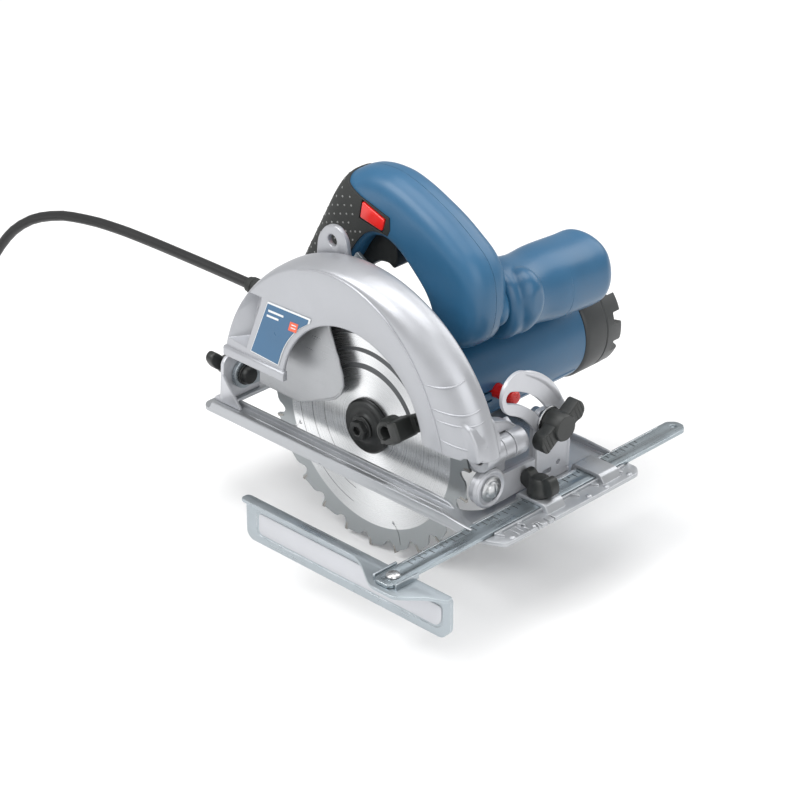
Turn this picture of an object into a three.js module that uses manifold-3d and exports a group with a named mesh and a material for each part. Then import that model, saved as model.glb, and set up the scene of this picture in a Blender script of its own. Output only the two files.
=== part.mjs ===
// Hand-held circular saw with a parallel guide, in millimetres, +Z up, +X the cutting direction.
// The outer group puts the origin on the underside of the sole plate, in the middle of the plate.
// Inside it every piece is drawn about the blade: the spindle axis is x = 0, the blade is y = 0
// and the sole is z = 0.
import * as THREE from "three";
import { mergeVertices } from "three/addons/utils/BufferGeometryUtils.js";
import Module from "manifold-3d";

const wasm = await Module();
wasm.setup();

// ---- driving dimensions ----
const gap = 0.3; // clearance between pieces that touch
const bladeRadius = 95;
const bladeThickness = 2;
const toothCount = 24;
const boreRadius = 10;
const spindleHeight = 26;
const cutDepth = bladeRadius - spindleHeight;
const spindleRadius = 6;
const flangeRadius = 20;

const baseLength = 288;
const baseWidth = 147;
const baseThickness = 3;
const baseMiddle = [5, 42];
const lipHeight = 4.5;
const windowFront = 108;
const windowRear = -125;
const windowRight = -11.5;
const windowLeft = 36;

const barWidth = 16.4;
const barThickness = 2.7;
const barLength = 298;
const barMiddle = [127.2, 31.3];
const fencePlane = -95.4;
const fenceLength = 190;
const fenceHeight = 33;
const sheet = 2.5;

const guardWidthRight = 25; // blade plane to the outer face
const guardInnerFace = 10; // blade plane to the motor-side face
const guardMargin = 30; // beyond the blade
const guardRadius = bladeRadius + guardMargin;
const guardCavityRadius = bladeRadius + 7;
const guardWall = 2.5;
const archRadius = 67;
const archMiddle = [6.4, spindleHeight + 15.4];
const guardFoot = spindleHeight + 22.5;

const motorRadius = 38;
const motorAxis = [14, spindleHeight + 21.5];
const motorStart = 34.3;
const motorLength = 130.7;
const capLength = 38;
const capRadius = 39.5;
const gearRatio = 4;
const axisDistance = Math.hypot(motorAxis[0], motorAxis[1] - spindleHeight);
const pinionRadius = axisDistance / (gearRatio + 1) + 0.05;
const gearRadius = axisDistance - pinionRadius - 0.5;

const depthPivot = [110, 46];
const knuckleRadius = 10;
const pinRadius = 4;
const depthSwing = 33;
const depthArcRadius = 165;
const bevelAxis = [0, 20.5]; // y, z of the front and rear tilt pivots
const bevelSlotRadius = 63.5;
const bevelRestAngle = 28;
const bevelSwing = 44;
const bracketFront = 112.6;
const bracketSheet = 3;

const handleHalfWidth = 18;
const handleMiddle = 27 + handleHalfWidth; // its right face clears the depth arc

const cordRadius = 4;
const cordExit = [-168.3, 45, 61.5];
const floorHeight = -(cutDepth + gap);
const coilMiddle = [-515, -55];
const coilMeanRadius = 45;
const coilBundle = 15;

// ---- small helpers ----
const rad = THREE.MathUtils.degToRad;

function volumeOf(position, index) {
  let total = 0;
  const a = new THREE.Vector3();
  const b = new THREE.Vector3();
  const c = new THREE.Vector3();
  for (let i = 0; i < index.length; i += 3) {
    a.fromArray(position, index[i] * 3);
    b.fromArray(position, index[i + 1] * 3);
    c.fromArray(position, index[i + 2] * 3);
    total += a.dot(b.cross(c));
  }
  return total / 6;
}

// a closed three.js geometry becomes a solid, with its faces turned outward
function solid(geometry) {
  const plain = geometry.clone();
  plain.deleteAttribute("normal");
  plain.deleteAttribute("uv");
  const merged = mergeVertices(plain, 1e-3);
  const position = merged.attributes.position.array;
  const source = merged.index.array;
  let index = [];
  for (let i = 0; i < source.length; i += 3) {
    const [p, q, r] = [source[i], source[i + 1], source[i + 2]];
    if (p !== q && q !== r && r !== p) index.push(p, q, r);
  }
  if (volumeOf(position, index) < 0) index = index.reverse();
  return new wasm.Manifold(
    new wasm.Mesh({
      numProp: 3,
      vertProperties: new Float32Array(position),
      triVerts: new Uint32Array(index),
    }),
  );
}

function geometryOf(body) {
  const mesh = body.getMesh();
  const geometry = new THREE.BufferGeometry();
  geometry.setAttribute("position", new THREE.BufferAttribute(mesh.vertProperties, 3));
  geometry.setIndex(new THREE.BufferAttribute(mesh.triVerts, 1));
  geometry.computeVertexNormals();
  return geometry;
}

function outline(points) {
  return new THREE.Shape(points.map(([u, v]) => new THREE.Vector2(u, v)));
}

function ring(middle, radius, steps = 40, from = 0, to = 360) {
  const points = [];
  const count = to - from === 360 ? steps : steps + 1;
  for (let i = 0; i < count; i++) {
    const angle = rad(from + ((to - from) * i) / steps);
    points.push([middle[0] + radius * Math.cos(angle), middle[1] + radius * Math.sin(angle)]);
  }
  return points;
}

// smooth closed outline through a few points
function smooth(points, steps = 40) {
  const curve = new THREE.CatmullRomCurve3(
    points.map(([u, v]) => new THREE.Vector3(u, v, 0)),
    true,
    "centripetal",
  );
  return curve.getPoints(steps).slice(0, -1).map((p) => [p.x, p.y]);
}

function extruded(points, depth, options = {}) {
  const { holes = [], bevel = 0, bevelSteps = 2 } = options;
  const shape = outline(points);
  shape.holes = holes.map((hole) => outline([...hole].reverse()));
  return new THREE.ExtrudeGeometry(shape, {
    depth: depth - 2 * bevel,
    bevelEnabled: bevel > 0,
    bevelThickness: bevel,
    bevelSize: bevel,
    bevelOffset: -bevel,
    bevelSegments: bevelSteps,
    steps: 1,
    curveSegments: 8,
  }).translate(0, 0, bevel);
}

// profile in x and z, swept along y
function alongY(points, y0, y1, options) {
  return solid(extruded(points, y1 - y0, options).rotateX(Math.PI / 2).translate(0, y1, 0));
}

// profile in y and z, swept along x
function alongX(points, x0, x1, options) {
  const turn = new THREE.Matrix4().makeBasis(
    new THREE.Vector3(0, 1, 0),
    new THREE.Vector3(0, 0, 1),
    new THREE.Vector3(1, 0, 0),
  );
  return solid(extruded(points, x1 - x0, options).applyMatrix4(turn).translate(x0, 0, 0));
}

// profile in x and y, swept along z
function alongZ(points, z0, z1, options) {
  return solid(extruded(points, z1 - z0, options).translate(0, 0, z0));
}

function box(x0, x1, y0, y1, z0, z1) {
  const shape = new THREE.BoxGeometry(x1 - x0, y1 - y0, z1 - z0);
  return solid(shape.translate((x0 + x1) / 2, (y0 + y1) / 2, (z0 + z1) / 2));
}

// closed profile of [radius, height] pairs turned about an axis along y
function turnedY(profile, middle, steps = 20) {
  const points = profile.map(([r, h]) => new THREE.Vector2(Math.max(r, 0), h));
  const closed = profile[0][0] > 0.001 ? [...points, points[0].clone()] : points;
  return solid(new THREE.LatheGeometry(closed, steps).translate(middle[0], 0, middle[1]));
}

function turnedX(profile, middle, steps = 12) {
  const points = profile.map(([r, h]) => new THREE.Vector2(Math.max(r, 0), h));
  const closed = profile[0][0] > 0.001 ? [...points, points[0].clone()] : points;
  const shape = new THREE.LatheGeometry(closed, steps).rotateZ(-Math.PI / 2);
  return solid(shape.translate(0, middle[0], middle[1]));
}

function turnedZ(profile, middle, steps = 12) {
  const points = profile.map(([r, h]) => new THREE.Vector2(Math.max(r, 0), h));
  const closed = profile[0][0] > 0.001 ? [...points, points[0].clone()] : points;
  const shape = new THREE.LatheGeometry(closed, steps).rotateX(Math.PI / 2);
  return solid(shape.translate(middle[0], middle[1], 0));
}

function diskY(radius, y0, y1, middle, steps = 20) {
  return turnedY([[0, y0], [radius, y0], [radius, y1], [0, y1]], middle, steps);
}

function tubeY(inner, outer, y0, y1, middle, steps = 20) {
  return turnedY([[inner, y0], [outer, y0], [outer, y1], [inner, y1]], middle, steps);
}

function diskX(radius, x0, x1, middle, steps = 12) {
  return turnedX([[0, x0], [radius, x0], [radius, x1], [0, x1]], middle, steps);
}

function diskZ(radius, z0, z1, middle, steps = 12) {
  return turnedZ([[0, z0], [radius, z0], [radius, z1], [0, z1]], middle, steps);
}

function join(...bodies) {
  return bodies.reduce((a, b) => a.add(b));
}

function cut(body, ...tools) {
  return tools.reduce((a, b) => a.subtract(b), body);
}

const finish = {
  cast: { color: 0xb4b7bb, roughness: 0.45, metalness: 0.85 },
  steel: { color: 0x9fa4a8, roughness: 0.3, metalness: 0.95 },
  zinc: { color: 0xa9afb4, roughness: 0.42, metalness: 0.85 },
  black: { color: 0x1d1f20, roughness: 0.6, metalness: 0.05 },
  rubber: { color: 0x202223, roughness: 0.85, metalness: 0 },
  blue: { color: 0x2a5f8c, roughness: 0.42, metalness: 0.02 },
  red: { color: 0xd0221c, roughness: 0.4, metalness: 0 },
  blackened: { color: 0x2c3131, roughness: 0.5, metalness: 0.6 },
  copper: { color: 0xa9653b, roughness: 0.4, metalness: 0.8 },
  brass: { color: 0xb0893f, roughness: 0.4, metalness: 0.9 },
  laminate: { color: 0x6a6d70, roughness: 0.6, metalness: 0.7 },
  label: { color: 0x2b6390, roughness: 0.45, metalness: 0 },
};

const saw = new THREE.Group();
const assembly = new THREE.Group();
assembly.position.set(-baseMiddle[0], -baseMiddle[1], 0);
saw.add(assembly);

function piece(name, body, look) {
  const mesh = new THREE.Mesh(geometryOf(body), new THREE.MeshStandardMaterial(finish[look]));
  mesh.name = name;
  assembly.add(mesh);
}

const spindleAxis = [0, spindleHeight];

// ================= sole plate =================
const baseFront = baseMiddle[0] + baseLength / 2;
const baseRear = baseMiddle[0] - baseLength / 2;
const baseRight = baseMiddle[1] - baseWidth / 2;
const baseLeft = baseMiddle[1] + baseWidth / 2;
const baseTop = baseThickness;
const barBottom = baseTop + gap;
const barTop = barBottom + barThickness;
const barRear = barMiddle[0] - barWidth / 2;
const barFront = barMiddle[0] + barWidth / 2;
const clampY = 33;
const bridgeTop = barTop + gap + sheet;
const bridgeLeg = barRear - gap - bracketFront - gap - 0.2;
{
  const outer = [
    [baseRear + 6, baseRight], [baseFront - 16, baseRight], [baseFront, baseRight + 8],
    [baseFront, baseLeft - 6], [baseFront - 6, baseLeft], [baseRear + 6, baseLeft],
    [baseRear, baseLeft - 6], [baseRear, baseRight + 6],
  ];
  const opening = [
    [windowRear, windowRight], [windowFront - 8, windowRight], [windowFront, windowRight + 8],
    [windowFront, windowLeft - 6], [windowFront - 6, windowLeft], [windowRear, windowLeft],
  ];
  const notches = [[11, 2.2], [18, 2.2]].map(([y, w]) =>
    box(baseFront - 5, baseFront + 1, y - w / 2, y + w / 2, -1, baseTop + 1));
  const plate = alongZ(outer, 0, baseTop, { holes: [opening] });
  const lipTop = baseTop + lipHeight;
  const lips = join(
    box(baseRear + 8, baseFront - 20, baseRight, baseRight + sheet, baseTop - 1, lipTop + 1.5),
    box(baseRear + 8, baseFront - 10, baseLeft - sheet, baseLeft, baseTop - 1, lipTop),
    box(windowRear + 4, windowFront - 12, windowRight - sheet, windowRight, baseTop - 1, lipTop - 1),
  );
  const railRear = box(barRear - gap - 2, barRear - gap, baseRight + 12, baseLeft - 8, baseTop - 1,
    barTop - 0.6);
  const railFront = box(barFront + gap, barFront + gap + 2, baseRight + 12, baseLeft - 8,
    baseTop - 1, barTop - 0.6);
  const bridges = [clampY, baseLeft - 26].map((y) => join(
    box(barRear - gap - bridgeLeg, barFront + gap + bridgeLeg, y - 9, y + 9, barTop + gap, bridgeTop),
    box(barRear - gap - bridgeLeg, barRear - gap, y - 9, y + 9, baseTop - 1, bridgeTop),
    box(barFront + gap, barFront + gap + bridgeLeg, y - 9, y + 9, baseTop - 1, bridgeTop),
  ));
  const barPath = box(barRear - gap, barFront + gap, baseRight - 5, baseLeft + 5, baseTop,
    barTop + gap);
  const plateBody = join(plate, lips, railRear, railFront, ...bridges);
  const screwHole = diskZ(3.3, barTop, bridgeTop + 1, [barMiddle[0], clampY]);
  piece("base_plate", cut(plateBody, barPath, screwHole, ...notches), "zinc");
}

// ================= parallel guide =================
const barNear = barMiddle[1] - barLength / 2;
const barFar = barMiddle[1] + barLength / 2;
const guideBoltY = barNear + 11;
{
  const strip = [
    [barRear, barNear + 2], [barRear + 2, barNear], [barFront - 2, barNear], [barFront, barNear + 2],
    [barFront, barFar - 4], [barFront - 4, barFar], [barRear + 4, barFar], [barRear, barFar - 4],
  ];
  const holes = [ring([barMiddle[0], barFar - 7], 2.2, 16), ring([barMiddle[0], guideBoltY], 2.8, 16)];
  piece("guide_bar", alongZ(strip, barBottom, barTop, { holes }), "zinc");
}
{
  const fenceTop = barBottom - gap;
  const fenceRear = 74.8 - fenceLength / 2;
  const fenceFront = 74.8 + fenceLength / 2;
  const wall = [
    [fenceRear + 4, fenceTop - fenceHeight], [fenceFront - 8, fenceTop - fenceHeight],
    [fenceFront, fenceTop - fenceHeight + 8], [fenceFront, fenceTop - 1], [fenceRear, fenceTop - 1],
    [fenceRear, fenceTop - fenceHeight + 4],
  ];
  const tongueOut = barNear - 4;
  const flange = [
    [fenceRear, fencePlane], [fenceRear, fencePlane - 8], [barRear - 30, fencePlane - 8],
    [barRear - 20, fencePlane - 13], [barRear - 4, tongueOut + 3], [barRear + 2, tongueOut],
    [barFront + 6, tongueOut], [barFront + 20, fencePlane - 15], [barFront + 30, fencePlane - 8],
    [fenceFront, fencePlane - 6], [fenceFront, fencePlane],
  ].reverse();
  const body = cut(
    join(
      alongY(wall, fencePlane - sheet, fencePlane),
      alongZ(flange, fenceTop - sheet, fenceTop),
    ),
    diskZ(2.8, fenceTop - 5, fenceTop + 5, [barMiddle[0], guideBoltY]),
  );
  piece("guide_fence", body, "zinc");
  const bolt = turnedZ([
    [0, fenceTop - sheet - gap - 3], [4.6, fenceTop - sheet - gap - 3],
    [4.6, fenceTop - sheet - gap], [2.5, fenceTop - sheet - gap], [2.5, barTop + gap],
    [5, barTop + gap], [4, barTop + gap + 2], [0, barTop + gap + 2.4],
  ], [barMiddle[0], guideBoltY]);
  piece("guide_bolt", bolt, "steel");
}
{
  // thumb screw that presses on the bar through the bridge
  const foot = turnedZ([
    [0, barTop + gap], [3, barTop + gap], [3, bridgeTop + gap], [7, bridgeTop + gap],
    [8, bridgeTop + 4], [7, bridgeTop + 13], [0, bridgeTop + 13],
  ], [barMiddle[0], clampY]);
  const wing = alongY(
    smooth([[-13.4, 4], [-12.8, 14], [-7, 13], [0, 10], [7, 13], [12.8, 14], [13.4, 4],
      [6, 1.5], [-6, 1.5]], 26).map(([u, v]) => [barMiddle[0] + u, bridgeTop + gap + v]),
    clampY - 3, clampY + 3,
  );
  piece("guide_thumb_screw", join(foot, wing), "black");
}

// ================= bevel bracket with its quadrant, riveted to the sole =================
const bracketRear = bracketFront - bracketSheet;
const polar = (r, a) => [bevelAxis[0] + r * Math.cos(rad(a)), bevelAxis[1] + r * Math.sin(rad(a))];
const bandInner = bevelSlotRadius - 12.5;
const bandOuter = bevelSlotRadius + 18.5;
const bandMiddle = (bandInner + bandOuter) / 2;
const bandHalf = (bandOuter - bandInner) / 2;
const slotHalf = 4.5;
const bandEnd = bevelRestAngle + bevelSwing - 5; // stops short of the guard at full depth swing
{
  const band = [];
  for (let i = 0; i <= 14; i++) band.push(polar(bandOuter, 22 + ((bandEnd - 22) * i) / 14));
  const tip = polar(bandMiddle, bandEnd);
  for (let i = 1; i < 10; i++) {
    const angle = rad(bandEnd + 18 * i);
    band.push([tip[0] + bandHalf * Math.cos(angle), tip[1] + bandHalf * Math.sin(angle)]);
  }
  for (let i = 14; i >= 0; i--) band.push(polar(bandInner, 22 + ((bandEnd - 22) * i) / 14));
  const slotFrom = bevelRestAngle - 1;
  const slotTo = bevelRestAngle + bevelSwing + 1;
  const slot = [];
  const slotAngle = (i) => slotFrom + ((slotTo - slotFrom) * i) / 12;
  for (let i = 0; i <= 12; i++) slot.push(polar(bevelSlotRadius + slotHalf, slotAngle(i)));
  for (let i = 1; i < 6; i++) {
    const end = polar(bevelSlotRadius, slotTo);
    const angle = rad(slotTo + 30 * i);
    slot.push([end[0] + slotHalf * Math.cos(angle), end[1] + slotHalf * Math.sin(angle)]);
  }
  for (let i = 12; i >= 0; i--) slot.push(polar(bevelSlotRadius - slotHalf, slotAngle(i)));
  for (let i = 1; i < 6; i++) {
    const end = polar(bevelSlotRadius, slotFrom);
    const angle = rad(slotFrom + 180 + 30 * i);
    slot.push([end[0] + slotHalf * Math.cos(angle), end[1] + slotHalf * Math.sin(angle)]);
  }
  const post = [[45, baseTop + gap], [77, baseTop + gap], [79, 26], [76, 52], [71, 56], [46, 46]];
  const beam = [[0, 7], [46, 7], [46, 25], [0, 27]];
  const foot = box(bracketRear - 14, bracketFront, 44, 79, baseTop + gap, baseTop + gap + sheet);
  const body = cut(
    join(
      alongX(band, bracketRear, bracketFront),
      alongX(post, bracketRear, bracketFront),
      alongX(beam, bracketRear, bracketFront),
      diskX(14, bracketRear, bracketFront, bevelAxis, 20),
      foot,
    ),
    alongX(slot, bracketRear - 1, bracketFront + 1),
    diskX(pinRadius + gap, bracketRear - 1, bracketFront + 1, bevelAxis),
  );
  piece("bevel_quadrant", body, "cast");
  for (const [index, spot] of [[1, [103.6, 52]], [2, [103.6, 70]]]) {
    const rivet = turnedZ([
      [0, baseTop + 2 * gap + sheet], [4, baseTop + 2 * gap + sheet],
      [2.8, baseTop + 2 * gap + sheet + 1.6], [0, baseTop + 2 * gap + sheet + 2],
    ], spot, 16);
    piece(`bracket_rivet_${index}`, rivet, "steel");
  }
}

// rear tilt bracket on the sole
const rearPlateX = -128;
const rearSheet = 3;
{
  const upright = [
    [-20, baseTop + gap], [16, baseTop + gap], [12, 28], [6, 33], [-6, 35], [-14, 38], [-18, 34],
  ];
  const body = cut(
    join(
      alongX(upright, rearPlateX - rearSheet, rearPlateX),
      box(rearPlateX - rearSheet - 5, rearPlateX, -20, 16, baseTop + gap, baseTop + gap + sheet),
    ),
    diskX(pinRadius + gap, rearPlateX - rearSheet - 1, rearPlateX + 1, bevelAxis),
  );
  piece("rear_bracket", body, "cast");
}

// ================= tilting frame: front yoke, pivots, depth arc =================
const lugY = [8.3, 17.7];
{
  const yokeRear = bracketRear - gap - 4.2;
  const yokeFront = bracketRear - gap;
  const clampSpot = polar(bevelSlotRadius, bevelRestAngle);
  const face = join(
    diskX(13, yokeRear, yokeFront, bevelAxis, 20),
    alongX([[0, 9], [62, 9], [64, 14], [64, clampSpot[1] + 2], [60, clampSpot[1] + 7],
      [52, clampSpot[1] + 7], [47, clampSpot[1]], [46, 24], [0, 24]], yokeRear, yokeFront),
    alongX([[lugY[0], 15], [lugY[1], 15], [lugY[1], depthPivot[1]], [lugY[0], depthPivot[1]]],
      depthPivot[0] - 6, yokeFront),
  );
  const lug = diskY(knuckleRadius - 0.5, lugY[0], lugY[1], depthPivot, 20);
  const body = cut(
    join(face, lug),
    diskY(pinRadius + gap, lugY[0] - 1, lugY[1] + 1, depthPivot),
    diskX(pinRadius + gap, yokeRear - 1, yokeFront + 1, bevelAxis),
    diskX(3 + gap, yokeRear - 1, yokeFront + 1, clampSpot),
  );
  piece("front_yoke", body, "cast");

  const bevelBolt = turnedX([
    [0, yokeRear - 5], [6, yokeRear - 5], [6, yokeRear - gap], [pinRadius, yokeRear - gap],
    [pinRadius, bracketFront + gap], [9, bracketFront + gap], [9, bracketFront + 1.6],
    [6.5, bracketFront + 1.8], [5.5, bracketFront + 4], [0, bracketFront + 4.6],
  ], bevelAxis);
  piece("front_bevel_bolt", bevelBolt, "steel");

  const clampStud = turnedX([
    [0, yokeRear - 5], [6, yokeRear - 5], [6, yokeRear - gap], [3, yokeRear - gap],
    [3, bracketFront + 11], [0, bracketFront + 11],
  ], clampSpot);
  piece("bevel_clamp_stud", clampStud, "steel");

  const washer = turnedX([
    [3 + gap, bracketFront + gap], [11, bracketFront + gap], [11, bracketFront + 1.8],
    [3 + gap, bracketFront + 1.8],
  ], clampSpot, 20);
  piece("bevel_clamp_washer", washer, "steel");

  const hub = turnedX([
    [3 + gap, bracketFront + 2.1], [9, bracketFront + 2.1], [9.5, bracketFront + 9],
    [8.5, bracketFront + 17], [0, bracketFront + 17], [0, bracketFront + 11.5],
    [3 + gap, bracketFront + 11.5],
  ], clampSpot);
  const wingShape = smooth([[-3, 5], [9, 10], [20, 9], [21, 2], [10, -3], [3, -6], [-9, -10],
    [-20, -9], [-21, -2], [-10, 3]], 22);
  const wing = alongX(wingShape.map(([u, v]) => [clampSpot[0] + u, clampSpot[1] + v]),
    bracketFront + 5, bracketFront + 15);
  const bore = diskX(3 + gap, bracketFront, bracketFront + 11.5, clampSpot);
  piece("bevel_wing_nut", cut(join(hub, wing), bore), "black");
}
const arcY = [24, 26.5];
const arcBoltAngle = 6;
{
  // a bar bent from the rear tilt ear into an arc about the depth pivot
  const arcPoint = (r, a) => [depthPivot[0] - r * Math.cos(rad(a)), depthPivot[1] + r * Math.sin(rad(a))];
  const low = -13;
  const high = depthSwing - 1;
  const outer = [];
  for (let i = 0; i <= 16; i++) outer.push(arcPoint(depthArcRadius + 7, low + ((high - low) * i) / 16));
  for (let i = 16; i >= 0; i--) outer.push(arcPoint(depthArcRadius - 7, low + ((high - low) * i) / 16));
  const slotPoints = [];
  const slotLow = -arcBoltAngle - 1.5;
  const slotHigh = depthSwing - arcBoltAngle + 1.5;
  const slotAngle = (i) => slotLow + ((slotHigh - slotLow) * i) / 14;
  for (let i = 0; i <= 14; i++) slotPoints.push(arcPoint(depthArcRadius + 3.4, slotAngle(i)));
  for (let i = 14; i >= 0; i--) slotPoints.push(arcPoint(depthArcRadius - 3.4, slotAngle(i)));
  const earX = rearPlateX + gap;
  const arm = [[earX, 9], [-42, 9], [-44, 20], [earX, 26]];
  const ear = join(
    diskX(11, earX, earX + 3, bevelAxis, 28),
    alongX([[0, 10], [arcY[1], 9], [arcY[1], 26], [0, 31]], earX, earX + 3),
  );
  const body = cut(
    join(alongY(arm, arcY[0], arcY[1]), alongY(outer.reverse(), arcY[0], arcY[1]), ear),
    alongY(slotPoints.reverse(), arcY[0] - 1, arcY[1] + 1),
    diskX(pinRadius + gap, earX - 1, earX + 4, bevelAxis),
  );
  piece("depth_arc", body, "zinc");

  const rearBolt = turnedX([
    [0, rearPlateX - rearSheet - 5], [6, rearPlateX - rearSheet - 5], [6.5, rearPlateX - rearSheet - gap],
    [pinRadius, rearPlateX - rearSheet - gap], [pinRadius, earX + 3 + gap], [8, earX + 3 + gap],
    [8, earX + 8], [5, earX + 9.5], [0, earX + 9.5],
  ], bevelAxis);
  piece("rear_bevel_bolt", rearBolt, "steel");

  const nutBack = rearPlateX - rearSheet - 5.3;
  const nutHub = turnedX([[0, nutBack - 12], [7, nutBack - 12], [8, nutBack], [0, nutBack]], bevelAxis);
  const nutWing = alongX(
    smooth([[-4, -4], [-15, 4], [-19, 12], [-14, 16], [-4, 8], [4, 4], [15, -4], [19, -12], [14, -16],
      [4, -8]], 28).map(([u, v]) => [bevelAxis[0] + u, bevelAxis[1] + v]),
    nutBack - 10, nutBack - 4,
  );
  piece("rear_wing_nut", join(nutHub, nutWing), "black");

  // depth clamp: a stud in the gear case, a washer outside the arc and a lever
  const spot = arcPoint(depthArcRadius, -arcBoltAngle);
  piece("depth_clamp_stud", diskY(2.8, 14 + gap, 36, spot, 20), "steel");
  const leverHub = tubeY(2.8 + gap, 7, arcY[1] + gap, 37, spot, 16);
  const handle = alongY(
    [[spot[0] + 3, spot[1] - 6], [spot[0] + 3, spot[1] + 6], [spot[0] - 26, spot[1] + 9],
      [spot[0] - 31, spot[1] + 5], [spot[0] - 30, spot[1] - 2]].reverse(),
    arcY[1] + 2, 34,
  );
  const bore = diskY(2.8 + gap, arcY[1], 38, spot, 16);
  piece("depth_clamp_lever", cut(join(leverHub, handle), bore), "black");
}
{
  const pin = turnedY([
    [0, -11.5], [pinRadius - 0.6, -11.5], [pinRadius, -10.8], [pinRadius, 31], [pinRadius - 0.6, 31.8],
    [0, 31.8],
  ], depthPivot, 16);
  piece("depth_pivot_pin", pin, "steel");
}

// ================= upper guard and gear case, one casting =================
const caseEnd = motorStart - gap;
const gearCavity = gearRadius + 1.7;
const hubRadius = 15.6; // boss that the lower guard turns on
const spindleBearing = { inner: spindleRadius + gap, outer: 14, from: 8.8, to: 16.8 };
{
  const rim = turnedY([
    [0, -guardWidthRight], [guardRadius - 5, -guardWidthRight], [guardRadius - 1.2, -guardWidthRight + 2.2],
    [guardRadius, -guardWidthRight + 6], [guardRadius, -4], [guardRadius - 2, 0],
    [guardCavityRadius + 4, 5.3], [guardCavityRadius + 4, guardInnerFace], [0, guardInnerFace],
  ], spindleAxis, 52);
  const above = box(-200, 200, -60, 60, guardFoot, 300);
  const shell = rim.intersect(above);
  const wallBelow = diskY(guardCavityRadius + 4, guardInnerFace - guardWall, guardInnerFace,
    spindleAxis, 52).intersect(box(-104, 92, -60, 60, spindleHeight - 4, 300));
  const inside = guardRadius - 3.5;
  const cavity = turnedY([
    [0, -guardWidthRight + guardWall], [inside - 3, -guardWidthRight + guardWall],
    [inside, -guardWidthRight + guardWall + 3], [inside, -4.5], [inside - 2, -1.5],
    [guardCavityRadius, 3], [guardCavityRadius, guardInnerFace - guardWall],
    [0, guardInnerFace - guardWall],
  ], spindleAxis, 52);
  const bladePath = diskY(guardCavityRadius, -guardWidthRight + guardWall, guardInnerFace - guardWall,
    spindleAxis, 52);
  const arch = diskY(archRadius, -guardWidthRight - 2, -guardWidthRight + guardWall + 1, archMiddle, 40);
  // front leg with the two knuckles that ride on the depth pivot
  const leg = alongY(
    [[96, guardFoot + 4], [112, depthPivot[1]], [120, depthPivot[1] + 3], [118, 66], [108, 80], [92, 84]],
    -guardWidthRight + 3, 4,
  );
  const saddle = alongX(
    [[-10, depthPivot[1]], [30, depthPivot[1]], [30, depthPivot[1] + 10], [18, 62], [4, 68], [-10, 73]],
    100, bracketRear - 0.6,
  );
  const knuckles = join(
    diskY(knuckleRadius, -10, lugY[0] - gap, depthPivot, 24),
    diskY(knuckleRadius, lugY[1] + gap, 30, depthPivot, 24),
  );
  const lugRoom = join(
    diskY(knuckleRadius + 0.6, lugY[0] - gap, lugY[1] + gap, depthPivot, 24),
    box(depthPivot[0] - 8, depthPivot[0] + 12, lugY[0] - gap, lugY[1] + gap, 20, depthPivot[1]),
  );
  const pivotBore = diskY(pinRadius + gap, -30, 34, depthPivot, 16);
  // gear case behind the guard
  const pack = join(
    diskY(gearCavity + 2.3, guardInnerFace - 1, caseEnd, spindleAxis, 32),
    diskY(motorRadius, guardInnerFace - 1, caseEnd, motorAxis, 40),
  );
  const gearRoom = join(
    diskY(gearCavity, 17.6, caseEnd + 1, spindleAxis, 32),
    diskY(pinionRadius + 4, 17.6, caseEnd + 1, motorAxis, 20),
    diskY(motorRadius - 4, 24, caseEnd + 1, motorAxis, 32),
  );
  const bearingSeat = diskY(spindleBearing.outer + gap, spindleBearing.from - gap, 18, spindleAxis, 28);
  const shaftHole = diskY(spindleRadius + 1.2, -2, 12, spindleAxis, 20);
  // boss that holds the depth clamp stud
  const spot = [depthPivot[0] - depthArcRadius * Math.cos(rad(arcBoltAngle)),
    depthPivot[1] - depthArcRadius * Math.sin(rad(arcBoltAngle))];
  const boss = cut(
    diskY(8, guardInnerFace - 1, arcY[0] - gap, spot, 24),
    diskY(2.8 + gap, 14, 40, spot, 20),
  );
  // eye for hanging the saw up
  const eye = cut(
    alongY([[-52, 132], [-20, 138], [-24, 160], [-32, 165], [-42, 162], [-50, 152]].reverse(), 1, 5.2),
    diskY(4.2, 0, 6, [-36, 153], 24),
  );
  const eyeFoot = box(-50, -22, 1, 5.2, 134, 146);
  const rimBody = cut(join(shell, wallBelow), cavity, arch);
  const frame = cut(join(rimBody, leg, saddle, knuckles), lugRoom,
    bladePath, pivotBore);
  const caseBody = cut(pack, gearRoom);
  const hub = tubeY(12.6, hubRadius, 4.4, guardInnerFace - guardWall + 0.5, spindleAxis, 28);
  const shellBody = cut(join(frame, caseBody, boss, eye), bladePath);
  const body = cut(join(shellBody, eyeFoot, hub), bearingSeat, shaftHole);
  piece("upper_guard", body, "cast");
}

// maker's plate on the guard face
{
  const top = archMiddle[1] + archRadius;
  const label = [[-90, 60], [-62, 58.5]];
  for (let i = 0; i <= 10; i++) {
    const angle = rad(161 - 40 * (i / 10));
    label.push([archMiddle[0] + (archRadius + 4) * Math.cos(angle),
      archMiddle[1] + (archRadius + 4) * Math.sin(angle)]);
  }
  label.push([-27, top - 3], [-72, top - 4]);
  piece("guard_plate", alongY(label, -guardWidthRight - gap - 0.8, -guardWidthRight - gap), "label");
}

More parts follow.
